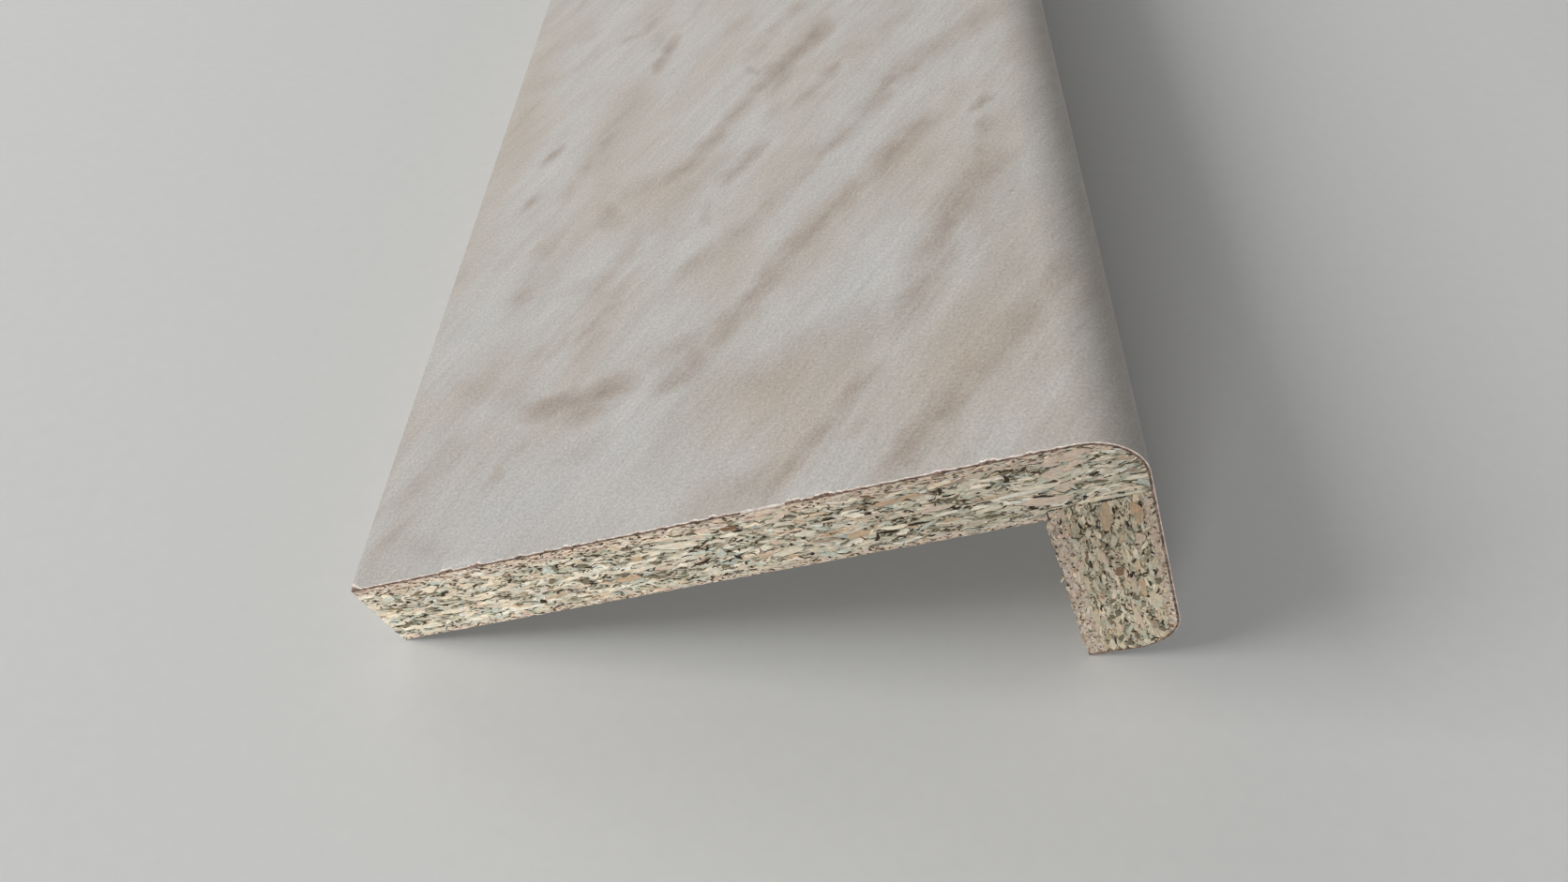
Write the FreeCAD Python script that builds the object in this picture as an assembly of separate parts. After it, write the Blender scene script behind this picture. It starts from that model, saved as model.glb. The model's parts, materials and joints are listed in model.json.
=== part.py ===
import FreeCAD
import Part
import math
import os

# A window sill board: a chipboard panel with a deep nose along its front edge. The nose is
# a chipboard strip set on edge, whose tongue is glued up into a shallow rebate under the
# board. One continuous sheet of post-formed laminate covers the top, the rounded front
# edge, the front of the nose, its rounded lower corner and its lowest face.
#
# The board lies as it comes to rest on a level floor: on the lower corner of its rear edge
# and on the inner lower corner of its nose, so the top face slopes up towards the nose.
#
# The section is drawn flat and square to the top face. Its u runs from the rear edge
# towards the nose, and its w runs up from the underside of the chipboard, with w = 0 there.
# The section is extruded along +Y, turned by the slope and moved so that the origin is at
# the middle of the space that the board takes up, on the floor, with +X towards the nose.

# Driving dimensions, in millimetres
length = 1000.0
overall_depth = 150.0
nose_height = 65.0
board_thickness = 18.0
strip_thickness = 18.0
laminate_thickness = 0.6
# Outside radii of the laminate: over the front edge, and under the lower front corner
top_nose_radius = 11.0
lower_nose_radius = 9.0
# The strip's tongue fills the rebate but for a fine open joint along the rebate's wall
rebate_depth = 3.0
joint_gap = 0.3
# A rounding takes at most this share of the chipboard that it is cut into
largest_rounding = 0.9

# Levels in the section
underside = 0.0
board_top = underside + board_thickness
laminate_top = board_top + laminate_thickness
nose_bottom = laminate_top - nose_height
strip_bottom = nose_bottom + laminate_thickness
tongue_top = underside + rebate_depth

# Places in the section
rear_edge = 0.0
laminate_front = rear_edge + overall_depth
core_front = laminate_front - laminate_thickness
strip_inner = core_front - strip_thickness
tongue_inner = strip_inner + joint_gap

# Roundings of the chipboard, which the laminate follows at its own thickness
top_core_radius = min(
    top_nose_radius - laminate_thickness,
    largest_rounding * (board_thickness - rebate_depth),
)
lower_core_radius = min(
    lower_nose_radius - laminate_thickness,
    largest_rounding * strip_thickness,
)
top_centre = (core_front - top_core_radius, board_top - top_core_radius)
lower_centre = (core_front - lower_core_radius, strip_bottom + lower_core_radius)

# The slope at rest: both lower corners, at the rear edge and inside the nose, are on the floor
slope = math.atan2(underside - nose_bottom, strip_inner - rear_edge)

# How far the sloping board reaches to each side of its rear lower corner
lower_outer_radius = lower_core_radius + laminate_thickness
rear_reach = (laminate_top - underside) * math.sin(slope)
nose_reach = (
    (lower_centre[0] - rear_edge) * math.cos(slope)
    + (underside - lower_centre[1]) * math.sin(slope)
    + lower_outer_radius
)
middle = (nose_reach - rear_reach) / 2


def section_point(u, w):
    """The point of the section at the near end of the board."""
    return FreeCAD.Vector(u, -length / 2, w)


def line(start, end):
    """A straight edge of the section between two (u, w) places."""
    return Part.LineSegment(section_point(*start), section_point(*end)).toShape()


def quarter(centre, radius, start_angle, end_angle):
    """A quarter round of the section about a (u, w) centre, between two angles in degrees."""
    places = []
    for angle in (start_angle, (start_angle + end_angle) / 2, end_angle):
        turn = math.radians(angle)
        u = centre[0] + radius * math.cos(turn)
        w = centre[1] + radius * math.sin(turn)
        places.append(section_point(u, w))
    return Part.Arc(*places).toShape()


def laid_at_rest(edges):
    """The solid that a closed section makes along the board's length, laid at rest."""
    solid = Part.Face(Part.Wire(edges)).extrude(FreeCAD.Vector(0, length, 0))
    solid.rotate(FreeCAD.Vector(0, 0, 0), FreeCAD.Vector(0, -1, 0), math.degrees(slope))
    solid.translate(FreeCAD.Vector(-middle, 0, 0))
    return solid


def sill_board():
    """The chipboard panel, rounded at its top front edge and rebated below for the strip."""
    arc_foot = (core_front, top_centre[1])
    arc_head = (top_centre[0], board_top)
    return laid_at_rest([
        line((rear_edge, underside), (strip_inner, underside)),
        line((strip_inner, underside), (strip_inner, tongue_top)),
        line((strip_inner, tongue_top), (core_front, tongue_top)),
        line((core_front, tongue_top), arc_foot),
        quarter(top_centre, top_core_radius, 0, 90),
        line(arc_head, (rear_edge, board_top)),
        line((rear_edge, board_top), (rear_edge, underside)),
    ])


def nose_strip():
    """The chipboard strip on edge, with its tongue above and a rounded lower front corner."""
    arc_head = (core_front, lower_centre[1])
    arc_foot = (lower_centre[0], strip_bottom)
    return laid_at_rest([
        line((tongue_inner, tongue_top), (tongue_inner, underside)),
        line((tongue_inner, underside), (strip_inner, underside)),
        line((strip_inner, underside), (strip_inner, strip_bottom)),
        line((strip_inner, strip_bottom), arc_foot),
        quarter(lower_centre, lower_core_radius, 270, 360),
        line(arc_head, (core_front, tongue_top)),
        line((core_front, tongue_top), (tongue_inner, tongue_top)),
    ])


def laminate_facing():
    """The one sheet of laminate, from the rear edge over the nose to its inner corner."""
    top_outer_radius = top_core_radius + laminate_thickness
    return laid_at_rest([
        line((rear_edge, laminate_top), (top_centre[0], laminate_top)),
        quarter(top_centre, top_outer_radius, 90, 0),
        line((laminate_front, top_centre[1]), (laminate_front, lower_centre[1])),
        quarter(lower_centre, lower_outer_radius, 360, 270),
        line((lower_centre[0], nose_bottom), (strip_inner, nose_bottom)),
        line((strip_inner, nose_bottom), (strip_inner, strip_bottom)),
        line((strip_inner, strip_bottom), (lower_centre[0], strip_bottom)),
        quarter(lower_centre, lower_core_radius, 270, 360),
        line((core_front, lower_centre[1]), (core_front, top_centre[1])),
        quarter(top_centre, top_core_radius, 0, 90),
        line((top_centre[0], board_top), (rear_edge, board_top)),
        line((rear_edge, board_top), (rear_edge, laminate_top)),
    ])


pieces = {
    "sill_board": sill_board(),
    "nose_strip": nose_strip(),
    "laminate_facing": laminate_facing(),
}

os.makedirs("parts", exist_ok=True)
for name, solid in pieces.items():
    solid.exportStep(f"parts/{name}.step")
    box = solid.BoundBox
    print(f"{name}: {box.XLength:.2f} x {box.YLength:.2f} x {box.ZLength:.2f} mm")
print(f"slope at rest: {math.degrees(slope):.3f} degrees")
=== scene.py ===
"""A window sill board as sawn from stock: marble-look laminate over moisture-resistant chipboard."""

import json
import logging
import math
from collections.abc import Callable, Sequence
from dataclasses import dataclass
from enum import Enum
from functools import reduce

import bpy
import numpy as np
from mathutils import Matrix, Vector


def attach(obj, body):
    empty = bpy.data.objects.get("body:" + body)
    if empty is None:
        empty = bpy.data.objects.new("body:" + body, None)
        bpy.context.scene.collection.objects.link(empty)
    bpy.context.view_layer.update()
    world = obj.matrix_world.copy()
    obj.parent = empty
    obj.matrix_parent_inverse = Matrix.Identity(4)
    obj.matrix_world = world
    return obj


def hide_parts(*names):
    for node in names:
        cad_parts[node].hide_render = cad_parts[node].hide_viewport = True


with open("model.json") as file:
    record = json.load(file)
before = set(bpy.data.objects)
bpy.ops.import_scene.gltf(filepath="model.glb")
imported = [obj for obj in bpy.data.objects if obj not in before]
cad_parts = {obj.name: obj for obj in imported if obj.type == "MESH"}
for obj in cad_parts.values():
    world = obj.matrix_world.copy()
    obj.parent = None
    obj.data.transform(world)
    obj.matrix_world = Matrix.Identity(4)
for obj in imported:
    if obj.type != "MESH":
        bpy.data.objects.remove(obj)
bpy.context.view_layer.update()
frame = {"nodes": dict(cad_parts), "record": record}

log = logging.getLogger("sill_board")

MM = 0.001
BODY = "root"
# The least length that anything is divided by
TINY = 1e-9

Socket = bpy.types.NodeSocket
Colour = tuple[float, float, float]
Points = tuple[np.ndarray, np.ndarray]


def srgb(red: int, green: int, blue: int) -> Colour:
    """Turns a colour as seen on a screen into the linear values that a shader takes.

    Args:
        red: Red from 0 to 255.
        green: Green from 0 to 255.
        blue: Blue from 0 to 255.

    Returns:
        The linear red, green and blue.
    """
    shares = (value / 255 for value in (red, green, blue))
    return tuple(share / 12.92 if share <= 0.04045 else ((share + 0.055) / 1.055) ** 2.4 for share in shares)


@dataclass(frozen=True)
class Section:
    """The board's own directions and levels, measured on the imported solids, in millimetres.

    u runs from the rear edge towards the nose, w up from the underside of the chipboard square
    to the top face, and y along the length. A piece is modelled in (u, y, w) and then laid at
    rest by the matrix.
    """

    matrix: Matrix
    half_length: float
    depth: float
    board_top: float
    core_front: float
    strip_inner: float
    tongue_top: float
    strip_bottom: float
    laminate_top: float
    nose_bottom: float
    underside: float = 0.0
    joint_gap: float = 0.3
    top_radius: float = 11.0
    lower_radius: float = 9.0

    @classmethod
    def measured(cls) -> "Section":
        """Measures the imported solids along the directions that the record's mounts give.

        Returns:
            The section, with its matrix from (u, y, w) in millimetres to the row frame.
        """
        faces = {mount["name"]: Vector(mount["axis"]).normalized() for mount in frame["record"]["mounts"]}
        across, length, up = -faces["rear_edge"], Vector((0, 1, 0)), faces["top_face"]
        low, high = {}, {}
        for name, node in frame["nodes"].items():
            places = np.array([vertex.co for vertex in node.data.vertices])
            for axis, way in (("u", across), ("y", length), ("w", up)):
                reach = places @ np.array(way) / MM
                low[name, axis] = float(reach.min())
                high[name, axis] = float(reach.max())
        rear, base = low["sill_board", "u"], low["sill_board", "w"]
        matrix = Matrix((across, length, up)).transposed().to_4x4()
        matrix.translation = (across * rear + up * base) * MM
        return cls(
            matrix=matrix @ Matrix.Scale(MM, 4),
            half_length=high["sill_board", "y"],
            depth=high["laminate_facing", "u"] - rear,
            board_top=high["sill_board", "w"] - base,
            core_front=high["sill_board", "u"] - rear,
            strip_inner=low["nose_strip", "u"] - rear,
            tongue_top=high["nose_strip", "w"] - base,
            strip_bottom=low["nose_strip", "w"] - base,
            laminate_top=high["laminate_facing", "w"] - base,
            nose_bottom=low["laminate_facing", "w"] - base,
        )

    @property
    def laminate(self) -> float:
        """The laminate's thickness."""
        return self.laminate_top - self.board_top

    @property
    def top_centre(self) -> tuple[float, float]:
        """The (u, w) centre of the rounding over the front edge."""
        return self.depth - self.top_radius, self.laminate_top - self.top_radius

    @property
    def lower_centre(self) -> tuple[float, float]:
        """The (u, w) centre of the rounding under the nose."""
        return self.depth - self.lower_radius, self.nose_bottom + self.lower_radius

    def lay(self, piece: bpy.types.Object) -> None:
        """Lays a piece modelled in (u, y, w) at rest, with its place in its mesh."""
        piece.data.transform(self.matrix)
        piece.data.update()

    def within_board(self, u: np.ndarray, w: np.ndarray) -> Points:
        """Brings points of a cut end inside the outline of the chipboard panel.

        Args:
            u: Places from the rear edge.
            w: Heights above the underside.

        Returns:
            The same points, moved onto the outline where they were outside it.
        """
        u = np.clip(u, 0, self.core_front)
        w = np.clip(w, self.underside, self.board_top)
        u, w = within_corner(u, w, self.top_centre, self.top_radius - self.laminate, 1)
        in_rebate = (u > self.strip_inner) & (w < self.tongue_top)
        sideways = in_rebate & (u - self.strip_inner < self.tongue_top - w)
        u = np.where(sideways, self.strip_inner, u)
        w = np.where(in_rebate & ~sideways, self.tongue_top, w)
        return u, w

    def within_strip(self, u: np.ndarray, w: np.ndarray) -> Points:
        """Brings points of a cut end inside the outline of the nose strip.

        Args:
            u: Places from the rear edge.
            w: Heights above the underside of the board.

        Returns:
            The same points, moved onto the outline where they were outside it.
        """
        w = np.clip(w, self.strip_bottom, self.tongue_top)
        inner = np.where(w > self.underside, self.strip_inner + self.joint_gap, self.strip_inner)
        u = np.clip(u, inner, self.core_front)
        return within_corner(u, w, self.lower_centre, self.lower_radius - self.laminate, -1)

    def within_rear(self, y: np.ndarray, w: np.ndarray) -> Points:
        """Brings points inside the outline of the rear edge."""
        return np.clip(y, -self.half_length, self.half_length), np.clip(w, self.underside, self.board_top)


def within_corner(
    u: np.ndarray, w: np.ndarray, centre: tuple[float, float], radius: float, side: int
) -> Points:
    """Brings points inside a rounded front corner.

    Args:
        u: Places from the rear edge.
        w: Heights above the underside.
        centre: The (u, w) centre of the rounding.
        radius: Its radius.
        side: 1 for an upper corner, -1 for a lower one.

    Returns:
        The points, moved onto the rounding where they were beyond it.
    """
    du = u - centre[0]
    dw = (w - centre[1]) * side
    reach = np.hypot(du, dw)
    beyond = (du > 0) & (dw > 0) & (reach > radius)
    shrink = np.where(beyond, radius / np.maximum(reach, TINY), 1.0)
    return centre[0] + du * shrink, centre[1] + dw * shrink * side


class Graph:
    """Adds and joins the nodes of one shader tree."""

    def __init__(self, tree: bpy.types.NodeTree) -> None:
        """Takes the tree to work in."""
        self.tree = tree

    def feed(self, socket: Socket, value: object) -> None:
        """Links a socket into another, or writes a plain value on it.

        Args:
            socket: The input to feed.
            value: A socket, a number, or a colour or place of three numbers.
        """
        if isinstance(value, bpy.types.NodeSocket):
            self.tree.links.new(value, socket)
        elif isinstance(value, tuple) and socket.type == "RGBA":
            socket.default_value = (*value, 1.0)
        else:
            socket.default_value = value

    def node(self, kind: str, feeds: dict | None = None, **settings: object) -> bpy.types.Node:
        """Adds a node, gives it its settings and feeds its inputs.

        Args:
            kind: The sort of node.
            feeds: A value or a socket for each input, by its name or number.
            settings: A value for each of the node's own settings.

        Returns:
            The new node.
        """
        made = self.tree.nodes.new(kind)
        for name, value in settings.items():
            setattr(made, name, value)
        for name, value in (feeds or {}).items():
            self.feed(made.inputs[name], value)
        return made

    def math(self, operation: str, first: object, second: object = 0.0, clamp: bool = False) -> Socket:
        """The result of a sum on two values."""
        made = self.node("ShaderNodeMath", {0: first, 1: second}, operation=operation, use_clamp=clamp)
        return made.outputs[0]

    def times(self, first: object, second: object, clamp: bool = False) -> Socket:
        """One value times another."""
        return self.math("MULTIPLY", first, second, clamp)

    def plus(self, first: object, second: object) -> Socket:
        """One value plus another."""
        return self.math("ADD", first, second)

    def most(self, first: object, second: object) -> Socket:
        """The larger of two values."""
        return self.math("MAXIMUM", first, second)

    def vector(self, operation: str, first: object, second: object = (0, 0, 0)) -> bpy.types.Node:
        """The node that works on two vectors."""
        return self.node("ShaderNodeVectorMath", {0: first, 1: second}, operation=operation)

    def smooth(self, value: object, low: float, high: float) -> Socket:
        """A soft step from 0 at low to 1 at high."""
        feeds = {"Value": value, "From Min": low, "From Max": high}
        return self.node("ShaderNodeMapRange", feeds, interpolation_type="SMOOTHSTEP").outputs["Result"]

    def spread(self, value: object, low: float, high: float) -> Socket:
        """A value from 0 to 1 spread between low and high."""
        feeds = {"Value": value, "To Min": low, "To Max": high}
        return self.node("ShaderNodeMapRange", feeds, clamp=False).outputs["Result"]

    def mix(self, share: object, first: object, second: object, blend: str = "MIX") -> Socket:
        """A colour between two, by a share from 0 to 1."""
        feeds = {"Factor": share, 6: first, 7: second}
        made = self.node("ShaderNodeMix", feeds, data_type="RGBA", blend_type=blend, clamp_factor=True)
        return made.outputs[2]

    def toned(self, colour: object, tone: object) -> Socket:
        """A colour times a tone or a tint."""
        return self.mix(1.0, colour, tone, "MULTIPLY")

    def stretch(self, place: object, scale: Sequence[float], turn: Sequence[float] = (0, 0, 0)) -> Socket:
        """A place turned and then scaled along each axis."""
        feeds = {"Vector": place, "Rotation": turn, "Scale": scale}
        return self.node("ShaderNodeMapping", feeds, vector_type="POINT").outputs["Vector"]

    def noise(self, place: object, scale: float, detail: float = 2.0, roughness: float = 0.5) -> Socket:
        """Cloudy noise from 0 to 1, at so many lumps a millimetre."""
        feeds = {"Vector": place, "Scale": scale, "Detail": detail, "Roughness": roughness}
        return self.node("ShaderNodeTexNoise", feeds).outputs["Fac"]

    def lumps(self, place: object, scale: Sequence[float], detail: float, roughness: float) -> Socket:
        """Cloudy noise from 0 to 1, at so many lumps a millimetre along each axis."""
        return self.noise(self.stretch(place, scale), 1.0, detail, roughness)

    def on_object(self) -> Socket:
        """Places on the object, in metres."""
        return self.node("ShaderNodeTexCoord").outputs["Object"]

    def millimetres(self) -> Socket:
        """Places on the object, in millimetres."""
        return self.stretch(self.on_object(), (1 / MM, 1 / MM, 1 / MM))

    def attribute(self, name: str, output: str) -> Socket:
        """Reads one of the piece's own attributes."""
        made = self.node("ShaderNodeAttribute", attribute_type="GEOMETRY", attribute_name=name)
        return made.outputs[output]

    def bump(self, height: Socket, distance: float, strength: float = 1.0) -> Socket:
        """A normal that follows a height, with its full rise in metres."""
        feeds = {"Height": height, "Distance": distance, "Strength": strength}
        return self.node("ShaderNodeBump", feeds).outputs["Normal"]


def new_group(name: str, inputs: dict[str, str], outputs: dict[str, str]) -> tuple[Graph, dict, dict]:
    """Starts a node group with named inputs and outputs.

    Args:
        name: The group's name.
        inputs: The kind of socket for each input.
        outputs: The kind of socket for each output.

    Returns:
        The graph to build in, the sockets that its inputs give and those that its outputs take.
    """
    tree = bpy.data.node_groups.new(name, "ShaderNodeTree")
    for way, sockets in (("INPUT", inputs), ("OUTPUT", outputs)):
        for label, kind in sockets.items():
            tree.interface.new_socket(label, in_out=way, socket_type=f"NodeSocket{kind}")
    graph = Graph(tree)
    return graph, graph.node("NodeGroupInput").outputs, graph.node("NodeGroupOutput").inputs


def new_material(name: str, **values: object) -> tuple[bpy.types.Material, Graph, dict]:
    """Starts a material whose plain values are set on the shader's own sockets.

    Args:
        name: The material's name.
        values: A value for each named input of the shader, with _ for a space.

    Returns:
        The material, its graph and the inputs of its Principled shader.
    """
    material = bpy.data.materials.new(name)
    material.use_nodes = True
    graph = Graph(material.node_tree)
    shader = material.node_tree.nodes["Principled BSDF"].inputs
    for label, value in values.items():
        graph.feed(shader[label.replace("_", " ")], value)
    return material, graph, shader


def chip_group() -> bpy.types.NodeTree:
    """The colour and height of a pressed chip, from its own tint, rim and grain.

    Its rim is darkened towards a dark olive that is partly glue and partly painted shade where chips meet.

    Returns:
        A group with Tint, Rim, Grain, Place, Glue and shade, and Outline in, and Colour and Height out.
    """
    kinds = {
        "Tint": "Color", "Rim": "Float", "Grain": "Vector", "Place": "Vector", "Glue and shade": "Color",
        "Outline": "Float",
    }
    graph, given, out = new_group("pressed chip", kinds, {"Colour": "Color", "Height": "Float"})
    own = graph.node("ShaderNodeSeparateXYZ", {0: given["Grain"]})
    streak = graph.lumps(given["Grain"], (0.5, 3.6, 1.0), 3.0, 0.6)
    fibre = graph.lumps(given["Grain"], (1.3, 11.0, 1.0), 2.0, 0.5)
    cloud = graph.noise(given["Place"], 0.9, 3.0, 0.7)
    warmth = graph.noise(graph.stretch(given["Place"], (1.0, 1.0, 1.0), (1.1, 0.4, 0.7)), 0.55, 3.0, 0.7)
    shade = graph.plus(graph.spread(streak, 0.5, 1.5), graph.spread(fibre, -0.26, 0.26))
    lit = graph.toned(given["Tint"], graph.times(shade, graph.spread(cloud, 0.72, 1.28)))
    hue = graph.mix(graph.smooth(warmth, 0.36, 0.64), (0.955, 1.008, 1.035), (1.04, 0.99, 0.945))
    lit = graph.toned(lit, hue)
    # painted shade and glue: the rim is darkened towards the Glue and shade colour, broken up by noise
    rim_noise = graph.spread(graph.noise(given["Place"], 3.2, 2.0, 0.6), -0.45, 0.45)
    rim_darkening = graph.math("SUBTRACT", 1.0, graph.smooth(graph.plus(given["Rim"], rim_noise), -0.15, 0.6))
    own_share = graph.spread(graph.math("FRACT", own.outputs["Z"]), 0.35, 1.1)
    share = graph.times(graph.times(rim_darkening, given["Outline"]), own_share, clamp=True)
    graph.feed(out["Colour"], graph.mix(share, lit, given["Glue and shade"]))
    graph.feed(out["Height"], graph.plus(graph.times(streak, 0.6), graph.times(fibre, 0.4)))
    return graph.tree


@dataclass(frozen=True)
class Stroke:
    """A vein or cloud of the decor, through (u, Y) millimetres from the rear edge and the cut end."""

    reach: float
    strength: float
    points: tuple[tuple[float, float], ...]


def strokes(*rows: tuple) -> tuple[Stroke, ...]:
    """Lists strokes, each from its reach, its strength and the points that it runs through."""
    return tuple(Stroke(reach, strength, tuple(points)) for reach, strength, *points in rows)


VEINS = strokes(
    (4.2, 0.86, (33, 38.5), (38, 38), (46, 38.5), (52, 39.5)), (5, 0.5, (43, 34), (48, 34)),
    (5, 0.62, (64, 37.5), (68, 38.5), (71, 44)),
    (4.4, 0.62, (71, 44), (80, 54), (87, 67), (97, 79), (105, 86), (119, 100)),
    (3.2, 0.7, (79, 55), (82, 59)), (3.6, 0.62, (88, 70), (92, 73), (99, 80)),
    (5, 0.45, (63, 45), (66, 48)), (4.2, 0.6, (116, 99), (120, 101)),
    (4.6, 0.42, (63, 70), (72, 77), (80, 84), (88, 91), (93, 98)),
    (4.4, 0.52, (91, 97), (104, 110), (113, 121), (119, 129)), (3, 0.66, (109, 118), (116, 126)),
    (6, 0.42, (119, 130), (128, 134), (140, 141)), (3.6, 0.58, (71, 102), (75, 106), (79, 111)),
    (2.9, 0.7, (131.3, 102), (133.2, 103.8)), (2.7, 0.58, (131.7, 91), (133.4, 95)),
    (2.2, 0.36, (130.5, 84), (131, 88)), (6.5, 0.55, (113, 40), (118, 52), (122, 64), (128, 74), (133, 80)),
    (3.6, 0.86, (121, 61), (123, 66)), (8, 0.34, (128, 62), (134, 74)),
    (3.6, 0.72, (108, 2), (115, 10), (122, 18)), (4.6, 0.42, (122, 18), (130, 25), (138, 37), (144, 45)),
    (2.8, 0.6, (86, 2), (93, 11), (99, 18), (106, 27)), (5.5, 0.34, (77, 3), (86, 7)),
    (9, 0.22, (72, 33), (84, 33), (98, 38), (112, 42)), (3, 0.32, (83, 31), (84, 34)),
    (4, 0.26, (94, 37), (99, 40)), (3.1, 0.58, (20.8, 76.4), (23, 79)),
    (4.6, 0.34, (20, 74), (24, 88), (27, 98)), (3, 0.4, (23.5, 93.5), (25, 96)),
    (3.8, 0.44, (39, 104), (40, 101), (43, 97)), (2.4, 0.34, (45, 66), (52, 76)),
    (2.2, 0.3, (32, 52), (40, 62)), (2.4, 0.3, (24, 40), (30, 50)), (2.6, 0.32, (13, 44), (22, 56)),
    (3, 0.3, (2, 6), (8, 16)), (2.6, 0.3, (52, 86), (60, 98)), (3.2, 0.32, (35, 75), (38, 76)),
    (3.6, 0.36, (40, 68), (46, 80), (51, 90)), (2.2, 0.46, (46, 63), (48, 66.5)),
    (2.4, 0.4, (39, 56), (46, 64)), (3.2, 0.3, (42, 53), (45, 56)), (2.4, 0.26, (29.5, 55), (31, 57)),
    (2.4, 0.26, (67, 93), (68.5, 86)), (2.2, 0.36, (26, 19), (29, 25), (33, 31)),
    (4.5, 0.3, (4, 18), (11, 28), (16, 38)), (4.5, 0.26, (11, 52), (22, 46), (28, 43)),
    (3.5, 0.22, (9, 9), (20, 5)), (2, 0.3, (102.5, 13), (104.5, 15)), (3.6, 0.26, (42, 22), (50, 25)),
    (4.8, 0.92, (81, 141), (86, 146), (91, 152), (94, 158)),
    (3.8, 0.66, (56, 108), (63, 115), (70, 125), (76, 135), (82, 142)), (3, 0.5, (82, 134), (86, 142)),
    (2.4, 0.46, (75, 148), (77, 144.5)), (3.4, 0.32, (74, 154), (79, 161), (83, 169)),
    (3.4, 0.5, (86, 170), (88, 174)), (3, 0.54, (89.5, 125), (95, 131), (98.5, 138)),
    (4.5, 0.24, (99, 138), (108, 146), (118, 153)), (2.8, 0.32, (82, 123), (84, 126)),
    (3.2, 0.84, (46.8, 163), (48, 169), (50, 178)), (4.6, 0.34, (44, 176), (46, 184)),
    (4, 0.56, (39.6, 190), (42.4, 193.6)), (3.4, 0.5, (34, 187.5), (37, 189)),
    (7, 0.34, (38, 192), (44, 202)), (3.6, 0.34, (54, 188), (60, 195)),
    (3.1, 0.62, (18.4, 135), (20, 137.5)), (3.3, 0.58, (16, 114.5), (17.8, 117)),
    (9, 0.3, (35, 131), (38, 140), (43, 156)), (3.4, 0.5, (30, 122), (33, 130), (37, 136)),
    (3.4, 0.3, (26, 114), (28, 119)), (6.5, 0.3, (17, 203), (23, 209)),
    (6, 0.26, (3, 194), (14, 199), (20, 198)), (6, 0.26, (6, 177), (16, 176), (24, 184)),
    (5.5, 0.28, (66, 170), (73, 178)), (3.6, 0.34, (47, 106), (51, 110)),
    (5.5, 0.24, (58, 96), (64, 105), (72, 112)), (0.55, 0.9, (136, 68), (136.4, 68.2)),
    (0.5, 0.9, (114, 41), (114.3, 41.2)),
)
COLD_CLOUDS = strokes(
    (22, 0.85, (28, 8), (52, 18)), (16, 0.8, (96, 46), (108, 56)), (14, 0.55, (6, 60), (24, 84)),
    (12, 0.7, (46, 150), (60, 172)), (12, 0.6, (100, 92), (112, 108)),
)
WARM_CLOUDS = strokes(
    (18, 0.72, (112, 12), (132, 36)), (14, 0.54, (76, 24), (98, 34)), (15, 0.66, (44, 96), (62, 112)),
    (12, 0.7, (4, 118), (6, 200)), (10, 0.6, (66, 60), (84, 84)), (12, 0.55, (122, 70), (140, 96)),
    (13, 0.5, (30, 132), (40, 158)),
)


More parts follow.
